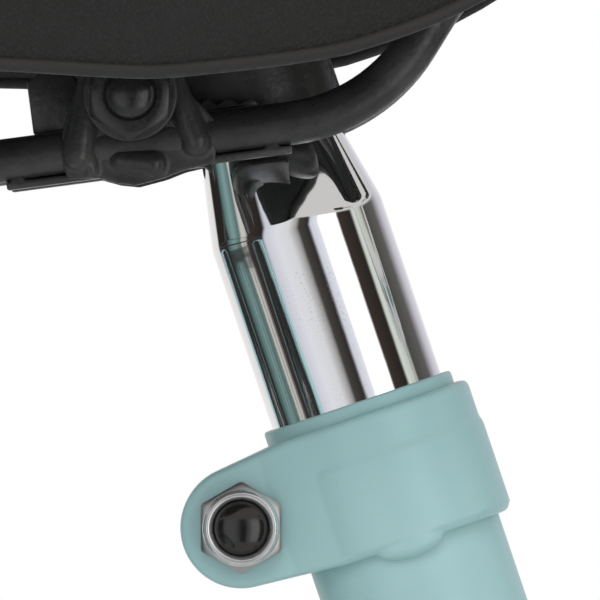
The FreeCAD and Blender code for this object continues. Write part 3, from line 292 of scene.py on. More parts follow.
def combine(base, tool, operation):
    """Boolean of two pieces; the tool is used up."""
    modifier = base.modifiers.new("combine", "BOOLEAN")
    modifier.operation = operation
    modifier.solver = "EXACT"
    modifier.object = tool
    apply_modifiers(base)
    bpy.data.objects.remove(tool)
    return base


def softened(obj, voxel, rounds):
    """Painted weldment: remeshed finely, then smoothed so that joints and edges run together."""
    remesh = obj.modifiers.new("remesh", "REMESH")
    remesh.mode = "VOXEL"
    remesh.voxel_size = voxel
    smooth = obj.modifiers.new("smooth", "SMOOTH")
    smooth.factor = 0.5
    smooth.iterations = rounds
    return apply_modifiers(obj)


TUBE_RADIUS, COLLAR_RADIUS = 15.9 * MM, 18.0 * MM
COLLAR_TOP, COLLAR_LOW = -1.5 * MM, -23.8 * MM
EAR_BACK, EAR_UP, EAR_ROUND, EAR_HALF = -24.1 * MM, -12.6 * MM, 9.8 * MM, 10.5 * MM
plan = arc_points((0, 0), COLLAR_RADIUS, -116, 116, 48)
plan += [(EAR_BACK + 6 * MM, EAR_HALF + 1.6 * MM), (EAR_BACK - EAR_ROUND - 2 * MM, EAR_HALF)]
plan += [(EAR_BACK - EAR_ROUND - 2 * MM, -EAR_HALF), (EAR_BACK + 6 * MM, -EAR_HALF - 1.6 * MM)]
collar = extruded("clamp_collar", plan, SEAT_TOP + POST_LINE * EAR_UP, POST_FORWARD, SIDEWAYS, POST_LINE,
    20 * MM)
outline = arc_points((EAR_BACK, EAR_UP), EAR_ROUND, 96, 262, 28)
outline += [(-10 * MM, COLLAR_LOW + 0.2 * MM), (25 * MM, COLLAR_LOW), (25 * MM, COLLAR_TOP),
    (-13 * MM, COLLAR_TOP)]
silhouette = extruded("silhouette", outline, SEAT_TOP, POST_FORWARD, POST_LINE, SIDEWAYS, 30 * MM)
combine(collar, silhouette, "INTERSECT")
bevel = collar.modifiers.new("edge", "BEVEL")
bevel.width = 1.1 * MM
bevel.segments = 3
bevel.angle_limit = math.radians(50)
apply_modifiers(collar)
belly = lathe("belly", [(14 * MM, -22.6 * MM), (18.35 * MM, -22.6 * MM), (18.35 * MM, -9.0 * MM),
    (17.8 * MM, -7.0 * MM), (14 * MM, -6.0 * MM)],
              SEAT_TOP, POST_LINE)
combine(collar, belly, "UNION")
tack = mesh_piece("tack", [], [])
work = bmesh.new()
bmesh.ops.create_uvsphere(work, u_segments=24, v_segments=12, radius=1.0)
work.to_mesh(tack.data)
work.free()
tack_place = SEAT_TOP - POST_LINE * 23.6 * MM + POST_FORWARD * 0.8 * MM - SIDEWAYS * 15.8 * MM
tack_shape = Matrix((POST_FORWARD * 5.6 * MM, SIDEWAYS * 2.4 * MM, POST_LINE * 2.3 * MM)).transposed()
tack.matrix_world = Matrix.Translation(tack_place) @ tack_shape.to_4x4()
bpy.context.view_layer.update()
combine(collar, tack, "UNION")
bore = lathe("bore", [(0, -40 * MM), (TUBE_RADIUS - 0.3 * MM, -40 * MM), (TUBE_RADIUS - 0.3 * MM, 20 * MM),
    (0, 20 * MM)], SEAT_TOP, POST_LINE)
combine(collar, bore, "DIFFERENCE")
slit = extruded("slit", [(0, -60 * MM), (-50 * MM, -60 * MM), (-50 * MM, 20 * MM), (0, 20 * MM)], SEAT_TOP,
    POST_FORWARD, POST_LINE, SIDEWAYS, 1.5 * MM)
combine(collar, slit, "DIFFERENCE")
EAR_CENTRE = SEAT_TOP + POST_LINE * EAR_UP + POST_FORWARD * EAR_BACK
bolt_way = lathe("bolt_way", [(0, -20 * MM), (4.2 * MM, -20 * MM), (4.2 * MM, 20 * MM), (0, 20 * MM)],
    EAR_CENTRE, SIDEWAYS, 48)
combine(collar, bolt_way, "DIFFERENCE")
softened(collar, 0.32 * MM, 5)
settled(collar, teal_paint, "frame", "frame_paint", "seat_collar", sharp=80)

WALL = 1.5 * MM
rim = rounded([(TUBE_RADIUS - WALL, -SEAT_TUBE_LENGTH), (TUBE_RADIUS, -SEAT_TUBE_LENGTH),
    (TUBE_RADIUS, 0.6 * MM), (TUBE_RADIUS - WALL, 0.6 * MM)],
              [0, 0, 0.6 * MM, 0.4 * MM], 4)
seat_tube = lathe("seat_tube_drawn", rim, SEAT_TOP, POST_LINE, 128)
slit = extruded("slit", [(0, -40 * MM), (-50 * MM, -40 * MM), (-50 * MM, 20 * MM), (0, 20 * MM)], SEAT_TOP,
    POST_FORWARD, POST_LINE, SIDEWAYS, 1.5 * MM)
combine(seat_tube, slit, "DIFFERENCE")
settled(seat_tube, teal_paint, "frame", "frame_paint", "seat_tube", sharp=40)

# ---------------------------------------------------------------- seat post
# Thin steel tube, swaged down to a neck for the saddle clamp, polished and chrome plated. The
# shoulder keeps a small radius from the swaging die, and clamping has left fine pits in the plate.
chrome_group, entry, leave = shader_group(
    "chrome_plate", {"Plate": (0.90, 0.905, 0.915, 1), "Stain": (0.55, 0.52, 0.48, 1), "Pitting": 1.0})
place = entry.outputs["Place"]
pits = ranged(chrome_group, noise(chrome_group, place, 2600.0, 2.0), 0.58, 0.72, 0.0, 1.0)
patches = ranged(chrome_group, noise(chrome_group, place, 60.0, 3.0), 0.45, 0.75, 0.0, 1.0)
pitted = combined(chrome_group, "MULTIPLY", pits, combined(chrome_group, "MULTIPLY", patches,
    entry.outputs["Pitting"]))
chrome_group.links.new(blended(chrome_group, combined(chrome_group, "MULTIPLY", pitted, 0.45),
    entry.outputs["Plate"], entry.outputs["Stain"]),
                       leave.inputs["Colour"])
chrome_group.links.new(combined(chrome_group, "ADD", combined(chrome_group, "MULTIPLY", pitted, 0.10), 0.035),
    leave.inputs["Roughness"])
ripple = noise(chrome_group, place, 160.0, 2.0)
chrome_group.links.new(combined(chrome_group, "SUBTRACT", combined(chrome_group, "MULTIPLY", ripple, 0.6),
    combined(chrome_group, "MULTIPLY", pitted, 0.12)),
                       leave.inputs["Height"])
chrome = finish_material("chrome_plate", chrome_group, {}, {"Metallic": 1.0}, 0.00002)
wear(chrome, "headset_cups", "handlebar", "quill_stem", "collar_nut", "chainring", "crank_arms", "steerer",
    "saddle_springs")
POST_RADIUS, NECK_RADIUS = 14.3 * MM, 11.1 * MM
SHOULDER, NECK_FROM, POST_TOP = 31.0 * MM, 46.5 * MM, 69.9 * MM
POST_FOOT = POST_TOP - 282 * MM
BORE = 11.5 * MM
outline = rounded(
    [(BORE, POST_FOOT), (POST_RADIUS, POST_FOOT), (POST_RADIUS, SHOULDER), (NECK_RADIUS, NECK_FROM),
    (NECK_RADIUS, POST_TOP),
     (NECK_RADIUS - 2 * MM, POST_TOP), (NECK_RADIUS - 2 * MM, NECK_FROM), (BORE, SHOULDER - 2 * MM)],
    [0.4 * MM, 0.6 * MM, 9 * MM, 9 * MM, 0.5 * MM, 0.5 * MM, 3 * MM, 3 * MM], 8)
post = lathe("chromed_post", outline, SEAT_TOP, POST_LINE, 192)
settled(post, chrome, "post", "chrome", "seat_post", sharp=50)

# ---------------------------------------------------------------- collar bolt and capped nut
# M8 zinc-plated bolt across the ear. The nut on the drive side has a turned chrome lip round its
# face and a glossy black plug in it; the other side shows the bolt's hexagon head.
def hexagon_piece(name, centre, line, flats, height, bore, lip=None, steps=96):
    """Nut or bolt head: a hexagon whose corners are turned off, with an optional round lip on its face."""
    line = Vector(line).normalized()
    first, second = square_to(line)
    apothem = flats / 2
    points, faces = [], []
    for step in range(steps):
        angle = 2 * math.pi * step / steps
        folded = (angle + math.pi / 6) % (math.pi / 3) - math.pi / 6
        edge = min(apothem / math.cos(folded), apothem * 1.135)
        fall = max(0.0, edge - apothem * 0.95) * 0.55
        outline = [(bore, 0), (edge - 0.2 * MM, 0), (edge, 0.25 * MM), (edge, height - fall - 0.1 * MM),
            (edge - 0.12 * MM, height - fall), (apothem * 0.93, height)]
        if lip:
            outer, inner, rise = lip
            outline += [(outer, height), (outer, height + rise * 0.6), (outer - 0.25 * MM, height + rise),
                (inner + 0.2 * MM, height + rise),
                        (inner, height + rise * 0.7), (inner, height * 0.8), (bore, height * 0.8)]
        else:
            outline += [(bore + 0.4 * MM, height), (bore, height - 0.3 * MM)]
        out = first * math.cos(angle) + second * math.sin(angle)
        points += [centre + out * radius + line * along for radius, along in outline]
    count = len(outline)
    for step in range(steps):
        after = (step + 1) % steps
        for k in range(count):
            other = (k + 1) % count
            faces.append((step * count + k, step * count + other, after * count + other, after * count + k))
    return mesh_piece(name, points, faces)


NUT_FACE = EAR_CENTRE - SIDEWAYS * EAR_HALF
black_group, entry, leave = shader_group(
    "black_finish", {"Black": (0.012, 0.011, 0.010, 1), "Worn": (0.055, 0.050, 0.046, 1), "Rough": 0.4,
    "Grain": 1.0, "Wear": 0.3})
place = entry.outputs["Place"]
grain = noise(black_group, place, 1100.0, 3.0)
blotch = noise(black_group, place, 90.0, 4.0)
mask = combined(black_group, "MULTIPLY", ranged(black_group, blotch, 0.42, 0.7, 0.0, 1.0),
    entry.outputs["Wear"])
black_group.links.new(blended(black_group, mask, entry.outputs["Black"], entry.outputs["Worn"]),
    leave.inputs["Colour"])
black_group.links.new(combined(black_group, "ADD", entry.outputs["Rough"],
    ranged(black_group, grain, 0.3, 0.7, -0.08, 0.10)), leave.inputs["Roughness"])
black_group.links.new(combined(black_group, "MULTIPLY", grain, entry.outputs["Grain"]), leave.inputs["Height"])
black_plug = finish_material("black_plug", black_group, {"Rough": 0.16, "Grain": 0.15, "Wear": 0.2},
    {"Coat Weight": 0.4, "Coat Roughness": 0.1}, 0.00004)
plug_outline = [(0, 0), (4.7 * MM, 0), (4.7 * MM, 0.7 * MM)] + [
    (4.7 * MM * math.cos(math.radians(a)), 0.7 * MM + 2.6 * MM * math.sin(math.radians(a))) for a in (15, 30,
    45, 60, 75)] + [(0, 3.3 * MM)]
plug = lathe("collar_nut_plug", plug_outline, NUT_FACE - SIDEWAYS * 3.4 * MM, -SIDEWAYS, 72, closed=False)
settled(plug, black_plug, "frame", "dark_steel", sharp=60)
steel_group, entry, leave = shader_group("plated_steel", {"Metal": (0.56, 0.56, 0.57, 1),
    "Tarnish": (0.34, 0.31, 0.27, 1), "Polish": 0.3})
place = entry.outputs["Place"]
stain = ranged(steel_group, noise(steel_group, place, 70.0, 5.0), 0.45, 0.72, 0.0, 0.7)
steel_group.links.new(blended(steel_group, stain, entry.outputs["Metal"], entry.outputs["Tarnish"]),
    leave.inputs["Colour"])
steel_group.links.new(combined(steel_group, "ADD", entry.outputs["Polish"],
    combined(steel_group, "MULTIPLY", stain, 0.25)), leave.inputs["Roughness"])
steel_group.links.new(noise(steel_group, place, 600.0, 2.0), leave.inputs["Height"])
zinc = finish_material("zinc_plate", steel_group, {}, {"Metallic": 1.0}, 0.00003)
nickel = finish_material(
    "bright_nickel", steel_group, {"Metal": (0.80, 0.80, 0.80, 1), "Tarnish": (0.48, 0.47, 0.45, 1),
    "Polish": 0.20}, {"Metallic": 0.82}, 0.00003)
nut = hexagon_piece("collar_cap_nut", NUT_FACE, -SIDEWAYS, 13 * MM, 3.6 * MM, 4.0 * MM,
    (5.9 * MM, 4.75 * MM, 1.4 * MM))
settled(nut, zinc, "frame", "chrome", "collar_nut", sharp=30)
lip = [(5.4 * MM + 0.85 * MM * math.cos(math.radians(a)),
    4.4 * MM + 1.5 * MM * math.sin(math.radians(a))) for a in range(0, 360, 15)]
settled(lathe("collar_nut_lip", lip, NUT_FACE, -SIDEWAYS, 96), nickel, "frame", "chrome", sharp=80)
head = hexagon_piece("collar_bolt_head", EAR_CENTRE + SIDEWAYS * EAR_HALF, SIDEWAYS, 13 * MM, 5.3 * MM,
    0.2 * MM)
settled(head, zinc, "frame", "steel", sharp=30)
shank = lathe("collar_bolt_shank", [(0, -14 * MM), (3.95 * MM, -14 * MM), (3.95 * MM, 11 * MM), (0, 11 * MM)],
    EAR_CENTRE, SIDEWAYS, 48, closed=False)
settled(shank, zinc, "frame", "steel", "collar_bolt", sharp=40)
wear(zinc, "axle_bearings", "crank_bearings", "front_axle", "rear_axle", "crank_axle", "brake_drum",
    "freewheel_sprocket",
     "front_hub", "left_hub", "right_hub", "front_spokes", "left_spokes", "right_spokes")

# ---------------------------------------------------------------- saddle clamp
# Pressed plates squeeze serrated jaws on the two rails; one M8 bolt goes through all of them. The
# stampings are thick black-painted steel, with flared ribs, rolled corners and paint-filled edges.
CLAMP_BOLT = Vector(joints["saddle_tilt"]["pos_m"])
RAIL_LINE = Vector(joints["saddle_slide"]["axis"]).normalized()


def capsule(name, start, end, first_radius, last_radius, steps=24):
    """Rib: a tapering bar with round ends."""
    line = (end - start).normalized()
    length = (end - start).length
    outline = [(first_radius * math.sin(math.radians(a)),
        -first_radius * math.cos(math.radians(a))) for a in range(0, 91, 15)]
    outline += [(last_radius * math.cos(math.radians(a)),
        length + last_radius * math.sin(math.radians(a))) for a in range(0, 91, 15)]
    return lathe(name, outline, start, line, steps, closed=False)


def from_bolt(ahead, up, left=0.0):
    """Place given in millimetres ahead, above and to the left of the clamp bolt."""
    return CLAMP_BOLT + Vector((ahead, left, up)) * MM


clamp_black = finish_material(
    "black_painted_steel", black_group, {"Black": (0.028, 0.026, 0.025, 1), "Worn": (0.085, 0.080, 0.078, 1),
    "Rough": 0.34, "Grain": 0.8, "Wear": 0.6},
    {"Specular IOR Level": 0.55}, 0.00010)
PLATE_EDGE = [(-7.4, 4.6), (-9.0, 0.5), (-10.9, -6.0), (-11.1, -11.0), (-10.0, -13.6), (-4.9, -13.5),
    (-2.0, -14.3), (1.0, -14.6),
              (5.5, -13.4), (8.5, -12.2), (13.6, -11.0), (13.9, -4.4), (9.4, 0.4), (7.4, 4.6)]
for left in (1, -1):
    side = "left" if left > 0 else "right"
    plate_edge = [(x * MM, z * MM) for x, z in PLATE_EDGE]
    plate = extruded(f"clamp_plate_{side}", plate_edge, from_bolt(0, 0, left * 23.4), Vector((1, 0, 0)),
        UPWARD, SIDEWAYS, 1.5 * MM)
    boss = lathe("boss", [(0, -1 * MM), (7.4 * MM, -1 * MM), (6.6 * MM, 2.2 * MM), (0, 2.2 * MM)],
        from_bolt(0, 0, left * 23.4),
                 SIDEWAYS * left, 48)
    combine(plate, boss, "UNION")
    ribs = [((-6.2, 4.0), (-8.4, -9.6), 1.9, 2.7), ((6.2, 4.0), (10.6, -7.6), 1.7, 2.5),
        ((-7.6, -9.0), (-6.2, -12.2), 2.4, 1.3),
            ((-1.6, -10.6), (3.6, -11.2), 1.8, 2.2)]
    for (x1, z1), (x2, z2), r1, r2 in ribs:
        rib = capsule("rib", from_bolt(x1, z1, left * 24.2), from_bolt(x2, z2, left * 24.6), r1 * MM, r2 * MM)
        combine(plate, rib, "UNION")
    softened(plate, 0.34 * MM, 4)
    settled(plate, clamp_black, "clamp_jaws", "dark_steel", "saddle_clamp", sharp=80)

    # each jaw is two folded strips that grip a rail, with a toothed step on top near the post
    rail_at = left * 22.0
    strip = [(-20.5, -4.3), (-20.5, -5.6), (25.5, -5.6), (25.5, -4.3), (23.6, -4.3), (23.2, -3.4),
        (21.6, -3.4), (21.2, -4.3),
             (-17.4, -4.3), (-17.8, -3.5), (-19.4, -3.5), (-19.8, -4.3)]
    rail_middle = from_bolt(0, 0, rail_at) - Vector((0, 0, 8.0 * MM))
    rail_up = Vector((-RAIL_LINE.z, 0, RAIL_LINE.x))
    lower = extruded(f"clamp_lower_jaw_{side}", [(x * MM, (z + 0.8) * MM) for x, z in strip],
        rail_middle - SIDEWAYS * left * 2.6 * MM, RAIL_LINE, rail_up,
                     SIDEWAYS, 4.6 * MM)
    bevel = lower.modifiers.new("edge", "BEVEL")
    bevel.width = 0.35 * MM
    bevel.segments = 2
    apply_modifiers(lower)
    settled(lower, clamp_black, "clamp_jaws", "dark_steel", sharp=40)
    upper = [(-15.2, 3.4), (-15.2, 12.0), (-13.0, 13.2), (-8.2, 13.2), (-7.0, 11.0), (7.4, 11.0), (8.4, 8.4),
        (10.6, 6.4), (11.4, 4.8), (13.0, 5.8),
             (14.6, 4.4), (16.4, 5.6), (18.0, 4.2), (20.2, 5.0), (21.4, 3.4)]
    jaw = extruded(f"clamp_upper_jaw_{side}", [(x * MM, z * MM) for x, z in upper],
        rail_middle - SIDEWAYS * left * 4.4 * MM, RAIL_LINE, rail_up, SIDEWAYS,
                   3.0 * MM)
    bevel = jaw.modifiers.new("edge", "BEVEL")
    bevel.width = 0.45 * MM
    bevel.segments = 2
    apply_modifiers(jaw)
    settled(jaw, clamp_black, "clamp_jaws", "dark_steel", sharp=40)

# the bolt's ends: a hexagon nut on each side and the domed end of the bolt inside a plain washer
glossy_black = finish_material(
    "black_oxide", black_group, {"Black": (0.016, 0.015, 0.015, 1), "Rough": 0.24, "Grain": 0.3,
    "Wear": 0.35}, {"Specular IOR Level": 0.6}, 0.00005)
for left in (1, -1):
    side = "left" if left > 0 else "right"
    face = from_bolt(0, 0, left * 25.6)
    washer = lathe(f"clamp_washer_{side}",
        rounded([(4.2 * MM, 0), (7.6 * MM, 0), (7.6 * MM, 1.4 * MM), (4.2 * MM, 1.4 * MM)],
                                                  [0, 0.4 * MM, 0.4 * MM, 0], 3), face, SIDEWAYS * left, 64)
    settled(washer, clamp_black, "post", "dark_steel")
    nut = hexagon_piece(f"clamp_nut_{side}", face + SIDEWAYS * left * 1.3 * MM, SIDEWAYS * left, 12.9 * MM,
        4.4 * MM, 4.0 * MM)
    settled(nut, glossy_black, "post", "dark_steel", sharp=30)
    dome = [(4.1 * MM * math.cos(math.radians(a)), 1.8 * MM * math.sin(math.radians(a))) for a in (0, 20, 40,
        60, 75)] + [(0, 1.8 * MM)]
    tip = lathe(f"clamp_bolt_tip_{side}", dome, face + SIDEWAYS * left * 5.2 * MM, SIDEWAYS * left, 48,
        closed=False)
    settled(tip, glossy_black, "post", "dark_steel", "clamp_bolt", sharp=60)
rod_outline = rounded([(0, -31 * MM), (3.9 * MM, -31 * MM), (3.9 * MM, 31 * MM), (0, 31 * MM)],
    [0, 0.5 * MM, 0.5 * MM, 0], 3)
settled(lathe("clamp_bolt_rod", rod_outline, CLAMP_BOLT, SIDEWAYS, 40), zinc, "post", "steel", sharp=40)
wear(clamp_black, "clamp_band")

# ---------------------------------------------------------------- saddle rails
# Two 7 mm steel rails, black lacquered, run flat through the clamp, then bend up to the nose of the
# base in front and up to a spring plate behind. The lacquer is rubbed where the clamp slid.
def bent_rod(name, corners, bend, radius, sides=24, steps=10):
    """Rod along straight legs whose corners are rounded to a bend radius."""
    path = [corners[0]]
    for before, corner, after in zip(corners, corners[1:], corners[2:]):
        back, ahead = (before - corner), (after - corner)
        half = back.angle(ahead) / 2
        reach = min(bend / math.tan(half), back.length * 0.48, ahead.length * 0.48)
        start, end = corner + back.normalized() * reach, corner + ahead.normalized() * reach
        radius_here = reach * math.tan(half)
        middle = corner + (back.normalized() + ahead.normalized()).normalized() * (radius_here / math.sin(half))
        first, last = start - middle, end - middle
        turn = first.angle(last)
        for step in range(steps + 1):
            share = step / steps
            swing = first * math.sin((1 - share) * turn) + last * math.sin(share * turn)
            path.append(middle + swing / math.sin(turn))
    path.append(corners[-1])
    return tube_piece(name, path, radius, sides)


def tube_piece(name, path, radius, sides=24, closed=False):
    """Round rod along a path, its section kept from twisting."""
    points, faces = [], []
    count = len(path)
    ways = []
    for k in range(count):
        after = path[(k + 1) % count] if closed or k + 1 < count else path[k]
        before = path[k - 1] if closed or k > 0 else path[k]
        ways.append((after - before).normalized())
    across = square_to(ways[0])[0]
    for spot, way in zip(path, ways):
        across = (across - way * across.dot(way)).normalized()
        other = way.cross(across)
        for side in range(sides):
            angle = 2 * math.pi * side / sides
            points.append(spot + (across * math.cos(angle) + other * math.sin(angle)) * radius)
    for k in range(count if closed else count - 1):
        for side in range(sides):
            a, b = k * sides, ((k + 1) % count) * sides
            faces.append((a + side, a + (side + 1) % sides, b + (side + 1) % sides, b + side))
    if not closed:
        faces += [tuple(range(sides)), tuple(range((count - 1) * sides, count * sides))]
    return mesh_piece(name, points, faces)


def on_rail(along, left, above=-8.0):
    """Place in millimetres along the rails' straight part, from below the clamp bolt."""
    return CLAMP_BOLT + RAIL_LINE * along * MM + SIDEWAYS * left * MM + UPWARD * above * MM


RAIL_RADIUS = 3.5 * MM
for left in (1, -1):
    bend = on_rail(39.4, left * 22)
    rear = CLAMP_BOLT + Vector((-84, left * 48, -19.1)) * MM
    rise = bend + Vector((0.524, 0, 0.852)) * 30 * MM
    nose = Vector((bend.x + 55 * MM, left * 7 * MM, CLAMP_BOLT.z + 36 * MM))
    rail = bent_rod(f"saddle_rail_{'left' if left > 0 else 'right'}",
        [rear, on_rail(-55, left * 22), bend, rise, nose], 28 * MM, RAIL_RADIUS, 32, 14)
    settled(rail, clamp_black, "saddle", "dark_steel", "saddle_rails", sharp=50)

# ---------------------------------------------------------------- saddle cushion
# Broad sprung saddle: foam under a matt vinyl cover with a fine stippled grain. The cover is drawn
# down over a moulded shell, so its skirt rolls in to a thin welt; a shallow channel runs along it.
# the paler vinyl colour is used for real scuffs and also for a painted highlight on the stipple tops
vinyl_group, entry, leave = shader_group(
    "stippled_vinyl", {"Cover": (0.0125, 0.0115, 0.0105, 1), "Scuffs and stipple highlight": (0.034, 0.031, 0.029, 1),
    "Grain": 1.0, "Scuffs": 0.5})
place = entry.outputs["Place"]
stipple = vinyl_group.nodes.new("ShaderNodeTexVoronoi")
stipple.inputs["Scale"].default_value = 1500.0
vinyl_group.links.new(place, stipple.inputs["Vector"])
cells = stipple.outputs["Distance"]
leathery = noise(vinyl_group, place, 520.0, 4.0)
worn = combined(vinyl_group, "MULTIPLY", ranged(vinyl_group, noise(vinyl_group, place, 14.0, 5.0), 0.42, 0.68,
    0.0, 1.0), entry.outputs["Scuffs"])
# the raised tops of the stipple are mixed towards the paler vinyl and the hollows stay dark all over the cover:
# a painted highlight on the tops and painted shade in the hollows, added to the real scuffs
tops = ranged(vinyl_group, cells, 0.15, 0.55, 0.35, 0.0)
vinyl_group.links.new(blended(vinyl_group, combined(vinyl_group, "ADD",
    combined(vinyl_group, "MULTIPLY", worn, 0.35), tops),
                              entry.outputs["Cover"], entry.outputs["Scuffs and stipple highlight"]), leave.inputs["Colour"])
vinyl_group.links.new(combined(vinyl_group, "ADD", ranged(vinyl_group, leathery, 0.3, 0.7, 0.50, 0.66),
    combined(vinyl_group, "MULTIPLY", worn, -0.08)),
                      leave.inputs["Roughness"])
relief = combined(vinyl_group, "ADD", combined(vinyl_group, "MULTIPLY", cells, -0.8),
    combined(vinyl_group, "MULTIPLY", leathery, 0.9))
vinyl_group.links.new(combined(vinyl_group, "MULTIPLY", relief, entry.outputs["Grain"]), leave.inputs["Height"])
vinyl = finish_material("saddle_vinyl", vinyl_group, {}, {"Specular IOR Level": 0.35, "Sheen Weight": 0.08},
    0.00022)
piping = finish_material("saddle_welt", vinyl_group, {"Cover": (0.026, 0.024, 0.023, 1), "Grain": 0.4},
    {"Specular IOR Level": 0.45}, 0.00015)


def smooth_step(value, low, high):
    """0 below low, 1 above high, with an even curve between."""
    share = min(1.0, max(0.0, (value - low) / (high - low)))
    return share * share * (3 - 2 * share)


def through(stations, at):
    """Value at a place from a short list of (place, value) stations, joined by a smooth curve."""
    for k in range(len(stations) - 1):
        (x1, y1), (x2, y2) = stations[k], stations[k + 1]
        if at <= x2 or k == len(stations) - 2:
            share = min(1.0, max(0.0, (at - x1) / (x2 - x1)))
            before = stations[k - 1] if k else stations[k]
            after = stations[k + 2] if k + 2 < len(stations) else stations[k + 1]
            slope1 = (y2 - before[1]) / (x2 - before[0]) * (x2 - x1)
            slope2 = (after[1] - y1) / (after[0] - x1) * (x2 - x1)
            return ((2 * share ** 3 - 3 * share ** 2 + 1) * y1 + (share ** 3 - 2 * share ** 2 + share) * slope1
                    + (3 * share ** 2 - 2 * share ** 3) * y2 + (share ** 3 - share ** 2) * slope2)
    return stations[-1][1]


# millimetres ahead of the clamp bolt against half width, skirt edge and crown height above it
HALF_WIDTH = [(-121, 20), (-112, 70), (-95, 104), (-70, 121), (-40, 122), (-10, 104), (20, 76), (50, 53),
    (85, 38), (120, 30), (144, 22), (154, 8)]
SKIRT_EDGE = [(-121, 20), (-105, 10), (-80, 5.5), (-50, 4.2), (-21, 3.7), (1, 2.7), (8, 3.0), (32, 6.3),
    (41, 9.0), (49, 12.1), (56, 15.6), (70, 24),
              (95, 35), (125, 41), (154, 46)]
CROWN = [(-121, 48), (-108, 63), (-85, 71), (-50, 73), (-10, 69), (30, 64), (70, 64), (110, 67), (138, 64),
    (150, 57), (154, 51)]
STATIONS, AROUND = 96, 72


def cushion_point(ahead, share):
    """Point on the cover: ahead in mm, and share from the right welt (0) over the crown to the left (1)."""
    half = through(HALF_WIDTH, ahead)
    low, top = through(SKIRT_EDGE, ahead), through(CROWN, ahead)
    turn = math.pi * share
    across, upward = -math.cos(turn), math.sin(turn)
    flat = math.copysign(abs(across) ** 0.62, across)
    rise = upward ** 0.52 if upward > 0 else 0.0
    tuck = 1.0 - 0.085 * (1 - smooth_step(rise, 0.0, 0.42))
    channel = 3.2 * math.exp(-(flat * half / 11.0) ** 2) * smooth_step(-ahead, -95, -30) * smooth_step(ahead,
        -118, -95)
    return from_bolt(ahead, low + (top - low) * rise - channel * (1 if rise > 0.9 else 0), flat * half * tuck)


points, faces = [], []
for k in range(STATIONS + 1):
    ahead = -121 + 275 * (0.5 - 0.5 * math.cos(math.pi * k / STATIONS))
    outer = [cushion_point(ahead, j / AROUND) for j in range(AROUND + 1)]
    half, low = through(HALF_WIDTH, ahead), through(SKIRT_EDGE, ahead)
    lip = [from_bolt(ahead, low + 2.4, side * max(half * 0.90 - 2.5, 1.0)) for side in (1, -1)]
    ceiling = max(min(low + 29, through(CROWN, ahead) - 12), low + 2.6)
    inside = [from_bolt(ahead, ceiling, side * max(half * 0.88 - 5, 0.6)) for side in (1, -1)]
    points += outer + [lip[0], inside[0], inside[1], lip[1]]
row = AROUND + 5
for k in range(STATIONS):
    for j in range(row):
        after = (j + 1) % row
        faces.append((k * row + j, k * row + after, (k + 1) * row + after, (k + 1) * row + j))
faces += [tuple(range(row)), tuple(range(STATIONS * row, (STATIONS + 1) * row))]
cushion = mesh_piece("saddle_cover", points, faces)
settled(cushion, vinyl, "saddle", "saddle_cover", "saddle_cushion", sharp=70)

# the welt: the cover's turned edge, a thin smooth bead along the bottom of the skirt
edge = [-121 + 275 * (0.5 - 0.5 * math.cos(math.pi * k / STATIONS)) for k in range(STATIONS + 1)]
left_edge = [cushion_point(ahead, 1.0) for ahead in edge]
right_edge = [cushion_point(ahead, 0.0) for ahead in reversed(edge)]
welt = tube_piece("saddle_welt", left_edge[1:] + right_edge[1:], 1.15 * MM, 12, closed=True)
settled(welt, piping, "saddle", "saddle_cover")
seam = [cushion_point(62 + 6 * math.sin(math.pi * k / 90), k / 90) + UPWARD * 0.15 * MM for k in range(5, 86)]
settled(tube_piece("saddle_seam", seam, 0.7 * MM, 8), piping, "saddle", "saddle_cover")

# ---------------------------------------------------------------- saddle base and springs
# Moulded shell under the foam with stiffening ribs, held to two coil springs at the back through
# pressed seats. The springs are 4.4 mm wire, ground flat at both ends.
base_plastic = finish_material(
    "moulded_base", black_group, {"Black": (0.024, 0.024, 0.024, 1), "Worn": (0.05, 0.05, 0.05, 1),
    "Rough": 0.55, "Grain": 0.7, "Wear": 0.25}, {}, 0.0001)
points, faces = [], []
for k in range(61):
    ahead = -112 + 252 * k / 60
    half = max(through(HALF_WIDTH, ahead) * 0.88 - 5.5, 3.0)
    low = max(through(SKIRT_EDGE, ahead) + 9, 14.0)
    for side in range(21):
        across = -1 + 2 * side / 20
        rib = 1.2 if side % 4 == 2 else 0
        points.append(from_bolt(ahead, min(low + 13 * (1 - across ** 4) + rib, 60.0), half * across))
for k in range(60):
    for side in range(20):
        a = k * 21 + side
        faces.append((a, a + 1, a + 22, a + 21))
shell = mesh_piece("saddle_shell", points, faces)
thick = shell.modifiers.new("thickness", "SOLIDIFY")
thick.thickness = 2.5 * MM
apply_modifiers(shell)
settled(shell, base_plastic, "saddle", "saddle_base", "saddle_base", sharp=50)
for left in (1, -1):
    side = "left" if left > 0 else "right"
    foot = CLAMP_BOLT + Vector((-80, left * 48, -12.5)) * MM
    turns, height, wire = 4.4, 32.5 * MM, 2.1 * MM
    coil = []
    for k in range(241):
        angle = 2 * math.pi * turns * k / 240
        climb = wire + height * smooth_step(k / 240, 0.02, 0.98)
        coil.append(foot + Vector((math.cos(angle) * 14.6 * MM, math.sin(angle) * 14.6 * MM, climb)))
    settled(tube_piece(f"coil_spring_{side}", coil, wire, 16), chrome, "saddle", "spring_steel",
        "saddle_springs")
    for place_name, up, way in (("seat", -1.4, UPWARD), ("cap", 36.2, -UPWARD)):
        cup = rounded([(3 * MM, 0), (18 * MM, 0), (18.6 * MM, 2.6 * MM), (17.2 * MM, 2.6 * MM),
            (16.6 * MM, 1.4 * MM), (3 * MM, 1.4 * MM)],
                      [0, 0.5 * MM, 0.4 * MM, 0.4 * MM, 0.5 * MM, 0], 3)
        settled(lathe(f"spring_{place_name}_{side}", cup, foot + UPWARD * up * MM, way, 64), clamp_black,
            "saddle", "dark_steel")

# ---------------------------------------------------------------- wheels
# 24 inch tyres on polished box rims: black rubber with a moulded block tread, sidewall ribs and a
# pale ring of rim. The rims carry a drilled valve with its cap; the eyelets under the nipples are not drawn.
FRONT_AXLE = Vector(joints["front_wheel_spin"]["pos_m"])
REAR_AXLE = Vector(joints["rear_axle_spin"]["pos_m"])


